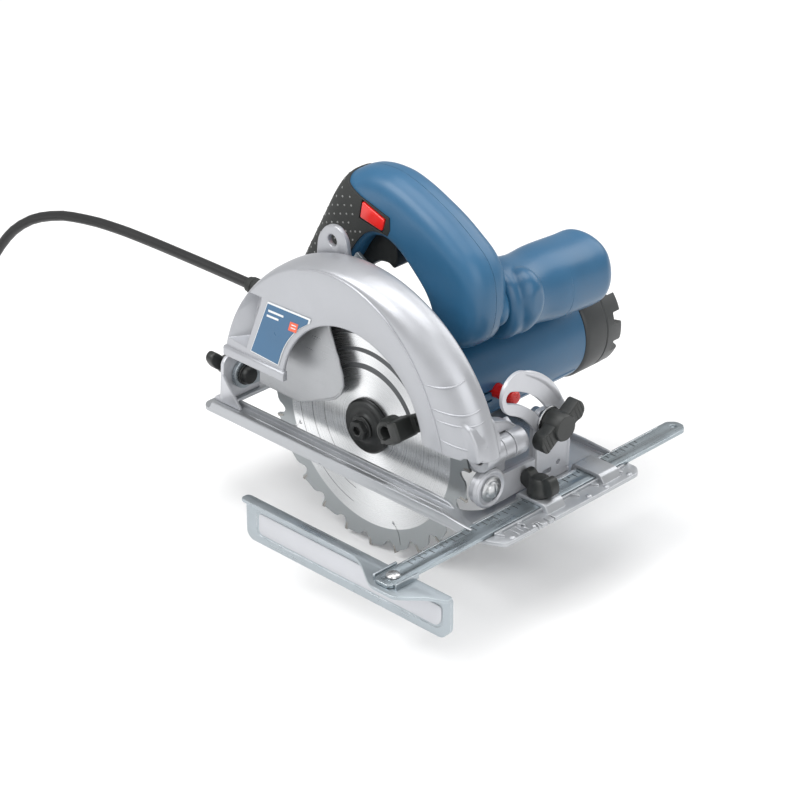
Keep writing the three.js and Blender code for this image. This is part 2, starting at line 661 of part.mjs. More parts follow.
// ================= blade, flanges, bolt, spindle =================
{
  const points = [];
  const pitch = 360 / toothCount;
  const root = bladeRadius - 9;
  for (let i = 0; i < toothCount; i++) {
    const a = i * pitch;
    const at = (r, d) => [r * Math.cos(rad(a + d)), spindleHeight + r * Math.sin(rad(a + d))];
    points.push(at(bladeRadius, 0), at(bladeRadius - 1.2, 4), at(root + 1.6, 9.6), at(root, 12.6));
  }
  const bore = ring(spindleAxis, boreRadius, 24);
  piece("saw_blade", alongY(points, -bladeThickness / 2, bladeThickness / 2, { holes: [bore] }), "steel");
}
const boltRadius = 4;
{
  const face = bladeThickness / 2 + gap;
  const outerFlange = turnedY([
    [boltRadius + gap, -face - 5.5], [10, -face - 5.5], [13, -face - 3.2], [18, -face - 3.8],
    [flangeRadius, -face - 2.4], [flangeRadius, -face], [boltRadius + gap, -face],
  ], spindleAxis, 32);
  piece("outer_flange", outerFlange, "blackened");
  const innerFlange = turnedY([
    [spindleRadius + gap, -0.7], [boreRadius - gap, -0.7], [boreRadius - gap, face],
    [flangeRadius, face], [flangeRadius, face + 2.2], [12, face + 2.6], [12, face + 4.6],
    [spindleRadius + gap, face + 4.6],
  ], spindleAxis, 32);
  piece("inner_flange", innerFlange, "steel");
  const head = -face - 5.5 - gap;
  const hexagon = [];
  for (let i = 0; i < 6; i++) {
    const angle = rad(60 * i + 12);
    hexagon.push([7.6 * Math.cos(angle), spindleHeight + 7.6 * Math.sin(angle)]);
  }
  const socket = [];
  for (let i = 0; i < 6; i++) {
    const angle = rad(60 * i + 12);
    socket.push([3.4 * Math.cos(angle), spindleHeight + 3.4 * Math.sin(angle)]);
  }
  const bolt = cut(
    join(
      alongY(hexagon, head - 6, head - 1),
      diskY(9, head - 1.6, head, spindleAxis, 32),
      diskY(boltRadius, head - 1, 18, spindleAxis, 24),
    ),
    alongY(socket, head - 7, head - 2.5),
  );
  piece("arbor_bolt", bolt, "blackened");
  const spindle = turnedY([
    [boltRadius + gap, -0.5], [spindleRadius, -0.5], [spindleRadius, 30], [5, 30], [5, 42], [0, 42],
    [0, 20], [boltRadius + gap, 20],
  ], spindleAxis, 20);
  piece("spindle", spindle, "steel");
  const b = spindleBearing;
  piece("spindle_bearing", tubeY(b.inner, b.outer, b.from, b.to, spindleAxis, 28), "steel");
  piece("spindle_bush", tubeY(5 + gap, 8, 35, 43, spindleAxis, 20), "brass");
  const gearPoints = [];
  for (let i = 0; i < 60; i++) {
    const r = i % 2 ? gearRadius : gearRadius - 1.6;
    const angle = rad(6 * i);
    gearPoints.push([r * Math.cos(angle), spindleHeight + r * Math.sin(angle)]);
  }
  const bore = ring(spindleAxis, spindleRadius + gap, 20);
  piece("driven_gear", alongY(gearPoints, 18.4, 28.4, { holes: [bore] }), "steel");
}

// ================= moving lower guard =================
const lowerRim = bladeRadius + 5;
const lowerFrom = 20;
const lowerTo = 180;
{
  const sector = (r, a, b, steps) => ring(spindleAxis, r, steps, a, b);
  const rimBand = [...sector(lowerRim, lowerFrom, lowerTo, 26),
    ...sector(lowerRim - 2, lowerFrom, lowerTo, 26).reverse()];
  const innerPlate = [...sector(lowerRim - 0.5, lowerFrom, lowerTo, 26),
    [-24, spindleHeight - 4], ...ring(spindleAxis, 24, 12, 190, 380), [26, spindleHeight + 8]];
  const edge = [[-60, -2], [-32, 12], [-16, 26], [-19, 36], [-31, 69], [-24, 84], [20, 88]]
    .map(([u, v]) => [u * (lowerRim / 100), spindleHeight + v * (lowerRim / 100)]);
  const outerPlate = [...sector(lowerRim - 0.5, 60, lowerTo, 20), ...edge];
  const leverBridge = [...sector(lowerRim - 0.5, lowerFrom, 40, 8),
    ...sector(66, lowerFrom, 40, 6).reverse()];
  const body = cut(
    join(
      alongY(rimBand, -9.5, 6.2),
      alongY(innerPlate, 4.7, 6.2),
      alongY(outerPlate, -9.5, -8),
      alongY(leverBridge, -9.5, -8),
    ),
    diskY(hubRadius + gap, 3, 8, spindleAxis, 28),
  );
  piece("lower_guard", body, "zinc");
  const polarAt = (r, a) => [r * Math.cos(rad(a)), spindleHeight + r * Math.sin(rad(a))];
  const armPoints = [polarAt(42, 17), polarAt(60, 19), polarAt(93, 23), polarAt(93, 31), polarAt(60, 32),
    polarAt(42, 34)];
  const padPoints = [polarAt(40, 15), polarAt(59, 18), polarAt(60, 32), polarAt(41, 36)];
  const wallPoints = [polarAt(52, 17), polarAt(60, 19), polarAt(60, 32), polarAt(52, 33)];
  const body2 = join(
    alongY(armPoints, -14, -9.8),
    alongY(wallPoints, -29, -10),
    alongY(padPoints, -17, -10),
    alongY([polarAt(40, 15), polarAt(59, 18), polarAt(59, 22), polarAt(40, 20)], -29, -10),
  );
  piece("guard_lever", body2, "black");
  const coil = tubeY(hubRadius + 1.4, hubRadius + 5, 6.5, 7.2, spindleAxis, 24);
  piece("guard_spring", coil, "steel");
}

// ================= motor =================
const motorEnd = motorStart + motorLength;
const housingInner = motorRadius - 2.5;
{
  const frontWall = motorStart + 12;
  const shell = turnedY([
    [0, motorStart], [motorRadius, motorStart], [motorRadius, motorEnd], [housingInner, motorEnd],
    [housingInner, frontWall], [0, frontWall],
  ], motorAxis, 36);
  const body = cut(
    shell,
    diskY(13 + gap, frontWall - 8, frontWall + 1, motorAxis, 24),
    diskY(6, motorStart - 1, frontWall, motorAxis, 24),
    diskY(8 + gap, motorStart - 1, motorStart + 9.2, spindleAxis, 20),
    diskX(5.2 + gap, motorAxis[0] + 28, motorAxis[0] + 60, [72, spindleHeight + 19], 24),
  );
  piece("motor_housing", body, "blue");
  const bearing = tubeY(4 + gap, 13, frontWall - 7.7, frontWall - 0.5, motorAxis, 24);
  piece("front_motor_bearing", bearing, "steel");

  const capFrom = motorEnd + gap;
  const capTo = capFrom + capLength;
  const cap = turnedY([
    [housingInner - 1, capFrom], [motorRadius, capFrom], [capRadius, capFrom + 3], [capRadius, capTo - 2],
    [capRadius - 2, capTo], [0, capTo], [0, capTo - 2.5], [housingInner - 1, capTo - 2.5],
  ], motorAxis, 36);
  const slots = [];
  for (let i = 0; i < 11; i++) {
    const slot = box(-4.2, 4.2, capTo - 9, capTo + 1, housingInner - 6, capRadius + 3);
    slots.push(slot.rotate([0, (360 / 11) * i + 11, 0]).translate([motorAxis[0], 0, motorAxis[1]]));
  }
  const bearingPost = tubeY(9.5 + gap, 13, capTo - 14, capTo - 2, motorAxis, 20);
  piece("motor_end_cap", join(cut(cap, ...slots), bearingPost), "black");
  piece("rear_motor_bearing", tubeY(4 + gap, 9.5, capTo - 13.5, capTo - 6.5, motorAxis, 20), "steel");

  const shaft = turnedY([
    [0, 18.4], [pinionRadius, 18.4], [pinionRadius, 29], [4, 29], [4, capTo - 5], [0, capTo - 5],
  ], motorAxis, 24);
  piece("armature_shaft", shaft, "steel");
  piece("armature_core", tubeY(4 + gap, 20, 82, 126, motorAxis, 24), "laminate");
  piece("commutator", tubeY(4 + gap, 12, 138, 152, motorAxis, 24), "copper");
  const blades = [];
  for (let i = 0; i < 7; i++) {
    const vane = box(10, housingInner - 5.5, 52, 60, -0.9, 0.9);
    blades.push(vane.rotate([0, (360 / 7) * i, 0]).translate([motorAxis[0], 0, motorAxis[1]]));
  }
  const fan = join(
    tubeY(4 + gap, 12, 50, 62, motorAxis, 20),
    tubeY(11, housingInner - 4.5, 50, 52, motorAxis, 28),
    ...blades,
  );
  piece("cooling_fan", fan, "black");
  const yoke = cut(
    diskY(housingInner - gap, 80, 128, motorAxis, 32),
    diskY(21, 78, 130, motorAxis, 28),
    box(motorAxis[0] - 18, motorAxis[0] + 18, 78, 130, motorAxis[1] + 17,
      motorAxis[1] + housingInner - 7.5),
    box(motorAxis[0] - 18, motorAxis[0] + 18, 78, 130, motorAxis[1] + 7.5 - housingInner,
      motorAxis[1] - 17),
  );
  piece("stator", yoke, "laminate");
  for (const [side, name] of [[1, "front"], [-1, "rear"]]) {
    const x0 = motorAxis[0] + side * 12.5;
    const x1 = motorAxis[0] + side * (housingInner - 5.5);
    const brush = box(Math.min(x0, x1), Math.max(x0, x1), 141, 149, motorAxis[1] - 4, motorAxis[1] + 4);
    piece(`carbon_brush_${name}`, brush, "blackened");
    const y0 = motorAxis[0] + side * 15;
    const y1 = motorAxis[0] + side * (housingInner - 2.5);
    const holder = cut(
      box(Math.min(y0, y1), Math.max(y0, y1), 138.5, 151.5, motorAxis[1] - 6.5, motorAxis[1] + 6.5),
      box(Math.min(x0, x1) - 1, Math.max(x0, x1) + gap, 141 - gap, 149 + gap, motorAxis[1] - 4 - gap,
        motorAxis[1] + 4 + gap),
    );
    piece(`brush_holder_${name}`, holder, "brass");
  }
}
{
  // push button that stops the spindle
  const button = turnedX([
    [0, motorAxis[0] + 30], [3, motorAxis[0] + 30], [3, motorAxis[0] + 34], [5.2, motorAxis[0] + 34],
    [5.2, motorAxis[0] + 54], [4.2, motorAxis[0] + 56], [0, motorAxis[0] + 56],
  ], [72, spindleHeight + 19]);
  piece("spindle_lock_button", button, "red");
}

// ================= handles =================
{
  const outer = smooth([
    [-112, 50], [-113, 74], [-104, 98], [-91, 124], [-76, 152], [-63, 175], [-52, 188], [-36, 196],
    [-15, 197.5], [4, 193], [22, 185.5], [37, 178], [51, 169], [66, 158], [74, 142], [74, 118],
    [67, 100], [56, 92], [40, 86], [14, 78], [-20, 62], [-36, 48], [-60, 44], [-90, 44],
  ], 44);
  const loop = smooth([
    [-79, 80], [-62, 74], [-42, 76], [-26, 83], [-8, 89], [12, 94], [26, 101], [31, 110], [25, 124],
    [12, 137.5], [-2, 148.5], [-16, 153], [-30, 147], [-44, 126], [-56, 106], [-68, 92],
  ], 26);
  const room = motorRadius + gap + 0.1;
  const motorSpace = diskY(room, 0, 200, motorAxis, 36);
  const right = [handleMiddle - handleHalfWidth, handleMiddle - gap / 2];
  const left = [handleMiddle + gap / 2, handleMiddle + handleHalfWidth];
  const hollowGrip = alongY(
    smooth([[-97, 84], [-84, 96], [-70, 118], [-55, 142], [-38, 160], [-10, 162], [20, 148], [42, 134],
      [44, 150], [20, 166], [-10, 178], [-36, 180], [-58, 168], [-76, 138], [-92, 108]], 30),
    handleMiddle - handleHalfWidth + 5, handleMiddle + handleHalfWidth - 5,
  );
  const hollowFront = alongY(
    smooth([[39, 108], [47, 101], [58, 102], [67, 118], [67, 140], [58, 152], [44, 154], [35, 138]], 24),
    handleMiddle - handleHalfWidth + 4, handleMiddle + handleHalfWidth - 4,
  );
  const triggerRoom = alongY(
    [[-56, 112], [-6, 124], [-8, 156], [-20, 161], [-42, 160], [-60, 140]], 37.5, 52.5,
  );
  const bootRoom = diskX(9.4, -120, -94, [cordExit[1], cordExit[2]], 28);
  const lockRoom = alongY([[-35, 162], [-12, 158], [-9, 169], [-32, 177]],
    handleMiddle - handleHalfWidth - 2, handleMiddle + handleHalfWidth + 2);
  const full = alongY([...outer].reverse(), handleMiddle - handleHalfWidth,
    handleMiddle + handleHalfWidth, { holes: [[...loop].reverse()], bevel: 6, bevelSteps: 1 });
  const hollow = cut(full, hollowGrip, hollowFront, triggerRoom, bootRoom, lockRoom, motorSpace);
  const rightHalf = hollow.intersect(box(-200, 200, right[0] - 1, right[1], -50, 300));
  const leftHalf = hollow.intersect(box(-200, 200, left[0], left[1] + 1, -50, 300));
  piece("handle_shell_right", rightHalf, "blue");
  piece("handle_shell_left", leftHalf, "blue");

  const pad = smooth([[-97, 113], [-88, 130], [-76, 152], [-64, 174], [-56, 176], [-40, 160], [-36, 146],
    [-48, 128], [-58, 112], [-72, 104], [-90, 100]], 26);
  const padBody = alongY([...pad].reverse(), handleMiddle - handleHalfWidth - 2.4,
    handleMiddle - handleHalfWidth - gap, { bevel: 0.8, bevelSteps: 1 });
  piece("grip_pad_right", padBody, "rubber");
  const padLeft = alongY([...pad].reverse(), handleMiddle + handleHalfWidth + gap,
    handleMiddle + handleHalfWidth + 2.4, { bevel: 0.8, bevelSteps: 1 });
  piece("grip_pad_left", padLeft, "rubber");

  const trigger = alongY(
    smooth([[-40, 120], [-30, 127], [-20, 129], [-14, 127], [-11, 134], [-14, 150], [-24, 157],
      [-38, 155], [-46, 142], [-46, 128]], 22),
    38, 52, { bevel: 1.2, bevelSteps: 1 },
  );
  piece("switch_trigger", trigger, "black");
  const lock = alongY([[-34, 163], [-13, 159], [-10.5, 168], [-31.5, 175.5]],
    handleMiddle - handleHalfWidth - 2.2, handleMiddle + handleHalfWidth + 2.2,
    { bevel: 1, bevelSteps: 1 });
  piece("lock_off_button", lock, "red");

  const nose = smooth([[24, 97], [44, 86], [61, 87], [72, 97], [75, 112], [70, 129], [54, 139],
    [36, 139], [24, 128], [20, 112]], 28);
  // the handle falls away slightly towards its free end
  const lean = (p) => {
    p[2] -= 5 * Math.min(Math.max((p[1] - 80) / 70, 0), 1);
  };
  const bar = alongY([...nose].reverse(), handleMiddle + handleHalfWidth - 20, 170,
    { bevel: 9, bevelSteps: 3 }).refineToLength(24).warp(lean);
  const frontGrip = bar.intersect(box(-50, 150, handleMiddle + handleHalfWidth + gap, 300, 0, 300));
  const core = alongY(
    smooth([[28, 101], [44, 91], [60, 92], [68, 101], [70, 113], [64, 126], [51, 134], [37, 133],
      [28, 124], [24, 112]], 22).reverse(),
    handleMiddle + handleHalfWidth - 2, 163,
  ).refineToLength(24).warp(lean);
  piece("front_handle", cut(frontGrip, core, motorSpace), "blue");
}

// ================= cord =================
{
  const boot = turnedX([
    [cordRadius + gap, cordExit[0]], [5.6, cordExit[0]], [6.4, cordExit[0] + 20], [7.4, cordExit[0] + 45],
    [9, cordExit[0] + 54], [9, cordExit[0] + 72], [0, cordExit[0] + 72], [0, cordExit[0] + 60],
    [cordRadius + gap, cordExit[0] + 58],
  ], [cordExit[1], cordExit[2]], 20);
  piece("cord_boot", boot, "rubber");

  const bundleHeight = floorHeight + coilBundle + 2.5;
  const enter = rad(50);
  const reach = coilMeanRadius + coilBundle + 0.6;
  const end = [coilMiddle[0] + reach * Math.cos(enter), coilMiddle[1] + reach * Math.sin(enter),
    bundleHeight];
  const path = new THREE.CatmullRomCurve3([
    [cordExit[0] - gap, cordExit[1], cordExit[2]], [-220, 45, 61.3], [-270, 45, 60.6],
    [-310, 44.6, 59.4], [-350, 43, 56], [-388, 40, 48], [-420, 35, 32], [-441, 29, 9], [-453, 22, -16],
    [-460, 14, -37], [-467.5, 2.5, -49], end,
  ].map((p) => new THREE.Vector3(...p)), false, "centripetal");
  const section = outline(ring([0, 0], cordRadius, 8));
  const tube = new THREE.ExtrudeGeometry(section, { steps: 26, extrudePath: path, bevelEnabled: false });
  piece("cord_tube", solid(tube), "rubber");
  const bundle = ring([coilMeanRadius, bundleHeight], coilBundle, 8);
  piece("cord_coil", turnedZ(bundle, coilMiddle, 24), "rubber");
  const tieRadius = coilBundle + 0.9;
  const tie = turnedX([
    [tieRadius, coilMiddle[0] - 5], [tieRadius + 1.5, coilMiddle[0] - 5],
    [tieRadius + 1.5, coilMiddle[0] + 5], [tieRadius, coilMiddle[0] + 5],
  ], [coilMiddle[1] + coilMeanRadius, bundleHeight], 20);
  piece("cord_tie", tie, "black");
  const plugY = coilMiddle[1] - coilMeanRadius - coilBundle - gap - 11;
  const plugHeight = floorHeight + 11 + gap;
  const plugBody = turnedX([
    [0, coilMiddle[0] - 12], [5, coilMiddle[0] - 12], [7, coilMiddle[0] + 4], [11, coilMiddle[0] + 12],
    [11, coilMiddle[0] + 34], [0, coilMiddle[0] + 34],
  ], [plugY, plugHeight], 16);
  const pins = [-9.5, 9.5].map((offset) =>
    diskX(2.4, coilMiddle[0] + 33, coilMiddle[0] + 53, [plugY + offset * 0.7, plugHeight], 10));
  piece("mains_plug", join(plugBody, ...pins), "rubber");
}

export default saw;
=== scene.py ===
# Hand-held circular saw with its parallel guide.
# Shapes are drawn in millimetres about the blade: x is forward, y runs to the motor, z is up,
# with the spindle at x = 0, the blade at y = 0 and the sole at z = 0.
import bmesh
import bpy
import math
from mathutils import Matrix, Vector


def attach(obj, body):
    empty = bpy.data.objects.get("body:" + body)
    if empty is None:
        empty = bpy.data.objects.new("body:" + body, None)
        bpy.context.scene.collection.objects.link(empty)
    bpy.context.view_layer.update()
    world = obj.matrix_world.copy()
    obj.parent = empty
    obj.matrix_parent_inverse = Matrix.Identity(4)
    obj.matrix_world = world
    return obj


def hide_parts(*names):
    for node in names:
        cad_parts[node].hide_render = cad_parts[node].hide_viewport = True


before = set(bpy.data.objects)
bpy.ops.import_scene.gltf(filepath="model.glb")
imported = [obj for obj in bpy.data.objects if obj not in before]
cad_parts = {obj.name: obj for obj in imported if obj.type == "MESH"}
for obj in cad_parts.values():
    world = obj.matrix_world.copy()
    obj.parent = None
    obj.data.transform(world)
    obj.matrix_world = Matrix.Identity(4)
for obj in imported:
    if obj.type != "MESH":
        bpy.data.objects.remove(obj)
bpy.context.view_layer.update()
scene = bpy.context.scene
print("frame loaded,", len(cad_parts), "nodes")

millimetre = 0.001
drawingOrigin = Vector((-0.005, -0.042, 0.0))


def place(point):
    return drawingOrigin + Vector(point) * millimetre


# point at a distance and an angle in degrees about a middle point
def around(middle, radius, angle):
    a = math.radians(angle)
    return (middle[0] + radius * math.cos(a), middle[1] + radius * math.sin(a))


# outline whose corners are given as (way out, way across) along a direction from a middle point
def spoke(middle, angle, corners):
    a = math.radians(angle)
    c, s = math.cos(a), math.sin(a)
    return [(middle[0] + r * c - w * s, middle[1] + r * s + w * c) for r, w in corners]


# camera, along the product view
view = {"from": (1215.5, -1213.4, 954.9), "azimuth": 44.358, "elevation": 27.907, "lens": 128.11}


def makeCamera():
    data = bpy.data.cameras.new("camera")
    data.lens = view["lens"]
    data.sensor_width = 36.0
    data.clip_start = 0.05
    data.clip_end = 50.0
    camera = bpy.data.objects.new("camera", data)
    camera.location = place(view["from"])
    camera.rotation_euler = (math.radians(90 - view["elevation"]), 0, math.radians(view["azimuth"]))
    scene.collection.objects.link(camera)
    scene.camera = camera


makeCamera()


def newObject(name, bm):
    mesh = bpy.data.meshes.new(name)
    bm.to_mesh(mesh)
    bm.free()
    obj = bpy.data.objects.new(name, mesh)
    scene.collection.objects.link(obj)
    return obj


def turnTo(axis, u, v, h):
    if axis == "x":
        return (h, u, v)
    if axis == "y":
        return (u, h, v)
    return (u, v, h)


# straight prism: outline in the two other axes, from low to high along the axis
def prism(outline, low, high, axis="y", holes=()):
    bm = bmesh.new()
    ends = [[bm.verts.new(turnTo(axis, u, v, h)) for u, v in outline] for h in (low, high)]
    bm.faces.new(ends[0])
    bm.faces.new(ends[1])
    for i in range(len(outline)):
        j = (i + 1) % len(outline)
        bm.faces.new((ends[0][i], ends[0][j], ends[1][j], ends[1][i]))
    bmesh.ops.recalc_face_normals(bm, faces=bm.faces[:])
    obj = newObject("prism", bm)
    if holes:
        cut(obj, *[prism(hole, low - 1, high + 1, axis) for hole in holes])
    return obj


def block(x0, x1, y0, y1, z0, z1):
    return prism([(x0, z0), (x1, z0), (x1, z1), (x0, z1)], y0, y1)


# profile of (radius, height) turned about an axis through the middle point
def turned(profile, middle, axis="y", steps=64):
    bm = bmesh.new()
    rings = []
    for r, h in profile:
        if r < 1e-4:
            rings.append([bm.verts.new(turnTo(axis, middle[0], middle[1], h))])
            continue
        turns = [2 * math.pi * i / steps for i in range(steps)]
        rings.append([bm.verts.new(turnTo(axis, middle[0] + r * math.cos(a), middle[1] + r * math.sin(a), h))
                      for a in turns])
    closed = profile[0][0] > 1e-4
    pairs = list(zip(rings, rings[1:] + rings[:1])) if closed else list(zip(rings, rings[1:]))
    for a, b in pairs:
        for i in range(steps):
            j = (i + 1) % steps
            corners = [a[i % len(a)], a[j % len(a)], b[j % len(b)], b[i % len(b)]]
            corners = list(dict.fromkeys(corners))
            if len(corners) > 2:
                bm.faces.new(corners)
    bmesh.ops.recalc_face_normals(bm, faces=bm.faces[:])
    return newObject("turned", bm)


def disk(radius, low, high, middle, axis="y", steps=64):
    return turned([(0, low), (radius, low), (radius, high), (0, high)], middle, axis, steps)


def tube(inner, outer, low, high, middle, axis="y", steps=64):
    return turned([(inner, low), (outer, low), (outer, high), (inner, high)], middle, axis, steps)


# skin over slices that are closed loops of equal length
def skin(slices, name="skin", closed=False):
    bm = bmesh.new()
    loops = [[bm.verts.new(p) for p in one] for one in slices]
    pairs = list(zip(loops, loops[1:]))
    if closed:
        pairs.append((loops[-1], loops[0]))
    for a, b in pairs:
        for i in range(len(a)):
            j = (i + 1) % len(a)
            bm.faces.new((a[i], a[j], b[j], b[i]))
    if not closed:
        bm.faces.new(loops[0])
        bm.faces.new(loops[-1])
    bmesh.ops.recalc_face_normals(bm, faces=bm.faces[:])
    return newObject(name, bm)


# round bar through points, closed at its ends
def rod(points, radius, sides=12):
    route = [Vector(p) for p in points]
    slices = []
    side = None
    for i, p in enumerate(route):
        ahead = (route[min(i + 1, len(route) - 1)] - route[max(i - 1, 0)]).normalized()
        if side is None:
            side = ahead.orthogonal().normalized()
        side = (side - ahead * side.dot(ahead)).normalized()
        other = ahead.cross(side)
        r = radius(i / (len(route) - 1)) if callable(radius) else radius
        loop = []
        for k in range(sides):
            a = 2 * math.pi * k / sides
            loop.append(p + (side * math.cos(a) + other * math.sin(a)) * r)
        slices.append(loop)
    return skin(slices)


def discard(obj):
    mesh = obj.data
    bpy.data.objects.remove(obj)
    bpy.data.meshes.remove(mesh)


def applyModifiers(obj):
    graph = bpy.context.evaluated_depsgraph_get()
    mesh = bpy.data.meshes.new_from_object(obj.evaluated_get(graph))
    obj.modifiers.clear()
    old = obj.data
    obj.data = mesh
    bpy.data.meshes.remove(old)
    return obj


def boolean(obj, tools, mode):
    for tool in tools:
        step = obj.modifiers.new("boolean", "BOOLEAN")
        step.operation = mode
        step.solver = "EXACT"
        step.object = tool
    applyModifiers(obj)
    for tool in tools:
        discard(tool)
    return obj


def cut(obj, *tools):
    return boolean(obj, tools, "DIFFERENCE")


def weld(obj, *tools):
    return boolean(obj, tools, "UNION")


def keep(obj, *tools):
    return boolean(obj, tools, "INTERSECT")


def together(obj, *others):
    bm = bmesh.new()
    bm.from_mesh(obj.data)
    for other in others:
        bm.from_mesh(other.data)
        discard(other)
    bm.to_mesh(obj.data)
    bm.free()
    return obj


# smooth swelling: a ball stretched to three half widths and leant about y
def swelling(middle, sizes, lean, segments, rings):
    bm = bmesh.new()
    bmesh.ops.create_uvsphere(bm, u_segments=segments, v_segments=rings, radius=1)
    obj = newObject("swelling", bm)
    obj.data.transform(Matrix.Translation(Vector(middle)) @ Matrix.Rotation(math.radians(lean), 4, "Y")
                       @ Matrix.Diagonal(Vector((*sizes, 1))))
    return obj


def copyOf(obj):
    twin = bpy.data.objects.new("copy", obj.data.copy())
    scene.collection.objects.link(twin)
    return twin


# rounds every edge sharper than the angle
def soften(obj, width, segments=2, angle=32):
    step = obj.modifiers.new("bevel", "BEVEL")
    step.width = width
    step.segments = segments
    step.limit_method = "ANGLE"
    step.angle_limit = math.radians(angle)
    step.use_clamp_overlap = True
    return applyModifiers(obj)


# one soft moulded body out of several: voxel remesh, then smoothing
def melt(obj, voxel, passes, factor=0.5):
    step = obj.modifiers.new("remesh", "REMESH")
    step.mode = "VOXEL"
    step.voxel_size = voxel
    smooth = obj.modifiers.new("smooth", "SMOOTH")
    smooth.factor = factor
    smooth.iterations = passes
    return applyModifiers(obj)


def arc(middle, radius, start, end, steps):
    return [around(middle, radius, start + (end - start) * i / steps) for i in range(steps + 1)]


# closed smooth outline through a few points
def smoothLoop(points, steps=8):
    count = len(points)
    result = []
    for i in range(count):
        a, b, c, d = (Vector(points[(i + k - 1) % count]) for k in range(4))
        for s in range(steps):
            t = s / steps
            p = 0.5 * (2 * b + (c - a) * t + (2 * a - 5 * b + 4 * c - d) * t * t
                       + (3 * b - a - 3 * c + d) * t * t * t)
            result.append((p.x, p.y))
    return result


# outline with its corners rounded by arcs
def roundCorners(points, radius, steps=5):
    result = []
    count = len(points)
    for i in range(count):
        before, here, after = (Vector(points[(i + k) % count]) for k in (-1, 0, 1))
        back = before - here
        ahead = after - here
        reach = min(radius, back.length * 0.45, ahead.length * 0.45)
        start = here + back.normalized() * reach
        end = here + ahead.normalized() * reach
        for s in range(steps + 1):
            t = s / steps
            p = start * (1 - t) ** 2 + here * (2 * t * (1 - t)) + end * t * t
            result.append((p.x, p.y))
    return result


def shade(obj, angle=35):
    bm = bmesh.new()
    bm.from_mesh(obj.data)
    bmesh.ops.remove_doubles(bm, verts=bm.verts[:], dist=1e-4)
    limit = math.radians(angle)
    for face in bm.faces:
        face.smooth = True
    for edge in bm.edges:
        if len(edge.link_faces) == 2:
            edge.smooth = edge.calc_face_angle(0) < limit
    bm.to_mesh(obj.data)
    bm.free()


# takes a drawn body to its place, names it, hangs it on its body, gives it a finish and hides the nodes it
# stands for
def finishPiece(obj, name, body, material, nodes=(), angle=35):
    shade(obj, angle)
    obj.data.transform(Matrix.Translation(drawingOrigin) @ Matrix.Scale(millimetre, 4))
    obj.name = name
    obj.data.name = name
    obj.data.materials.clear()
    obj.data.materials.append(material)
    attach(obj, body)
    if nodes:
        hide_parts(*nodes)
    return obj


def add(tree, kind, sockets=None, **settings):
    node = tree.nodes.new(kind)
    for key, value in settings.items():
        setattr(node, key, value)
    for key, value in (sockets or {}).items():
        socket = node.inputs[key]
        if isinstance(value, bpy.types.NodeSocket):
            tree.links.new(value, socket)
        else:
            socket.default_value = value
    return node


def newGroup(name, inputs, outputs):
    tree = bpy.data.node_groups.new(name, "ShaderNodeTree")
    for label, kind, value in inputs:
        socket = tree.interface.new_socket(label, in_out="INPUT", socket_type=kind)
        if value is not None:
            socket.default_value = value
    for label, kind in outputs:
        tree.interface.new_socket(label, in_out="OUTPUT", socket_type=kind)
    return tree, tree.nodes.new("NodeGroupInput"), tree.nodes.new("NodeGroupOutput")


number = "NodeSocketFloat"
vector = "NodeSocketVector"


def maths(tree, operation, a, b=None, clamp=False):
    node = add(tree, "ShaderNodeMath", {0: a}, operation=operation, use_clamp=clamp)
    if b is not None:
        if isinstance(b, bpy.types.NodeSocket):
            tree.links.new(b, node.inputs[1])
        else:
            node.inputs[1].default_value = b
    return node.outputs[0]


def spread(tree, value, low, high, newLow=0.0, newHigh=1.0, smooth=False):
    node = add(tree, "ShaderNodeMapRange",
               {"Value": value, "From Min": low, "From Max": high, "To Min": newLow, "To Max": newHigh},
               interpolation_type="SMOOTHSTEP" if smooth else "LINEAR")
    return node.outputs["Result"]


# bright worn edges: where the rounded normal leaves the flat one, broken up by noise
def buildEdgeWear():
    tree, given, out = newGroup("edgeWear", [("Radius", number, 0.0006), ("Amount", number, 6.0)],
                                [("Mask", number)])
    coords = add(tree, "ShaderNodeTexCoord")
    rounded = add(tree, "ShaderNodeBevel", {"Radius": given.outputs["Radius"]}, samples=4)
    flat = add(tree, "ShaderNodeNewGeometry")
    match = add(tree, "ShaderNodeVectorMath", {0: rounded.outputs[0], 1: flat.outputs["Normal"]},
                operation="DOT_PRODUCT")
    lost = maths(tree, "SUBTRACT", 1.0, match.outputs["Value"], clamp=True)
    strong = maths(tree, "MULTIPLY", lost, given.outputs["Amount"])
    patches = add(tree, "ShaderNodeTexNoise",
                  {"Vector": coords.outputs["Object"], "Scale": 140.0, "Detail": 4.0})
    broken = spread(tree, patches.outputs["Fac"], 0.4, 0.62)
    tree.links.new(maths(tree, "MULTIPLY", strong, broken, clamp=True), out.inputs["Mask"])
    return tree


# fine moulded or cast grain
def buildGrain():
    tree, given, out = newGroup("grain", [("Scale", number, 900.0)], [("Height", number)])
    coords = add(tree, "ShaderNodeTexCoord")
    fine = add(tree, "ShaderNodeTexNoise",
               {"Vector": coords.outputs["Object"], "Scale": given.outputs["Scale"], "Detail": 2.0})
    cells = add(tree, "ShaderNodeTexVoronoi",
                {"Vector": coords.outputs["Object"], "Scale": given.outputs["Scale"]})
    total = maths(tree, "ADD", fine.outputs["Fac"], maths(tree, "MULTIPLY", cells.outputs["Distance"], 0.5))
    tree.links.new(total, out.inputs["Height"])
    return tree


# slow patches of handling and dust, as a value from 0 to 1
def buildPatches():
    tree, given, out = newGroup("patches", [("Scale", number, 30.0)], [("Value", number)])
    coords = add(tree, "ShaderNodeTexCoord")
    slow = add(tree, "ShaderNodeTexNoise",
               {"Vector": coords.outputs["Object"], "Scale": given.outputs["Scale"], "Detail": 5.0,
                "Roughness": 0.6, "Distortion": 0.4})
    tree.links.new(spread(tree, slow.outputs["Fac"], 0.3, 0.7, smooth=True), out.inputs["Value"])
    return tree


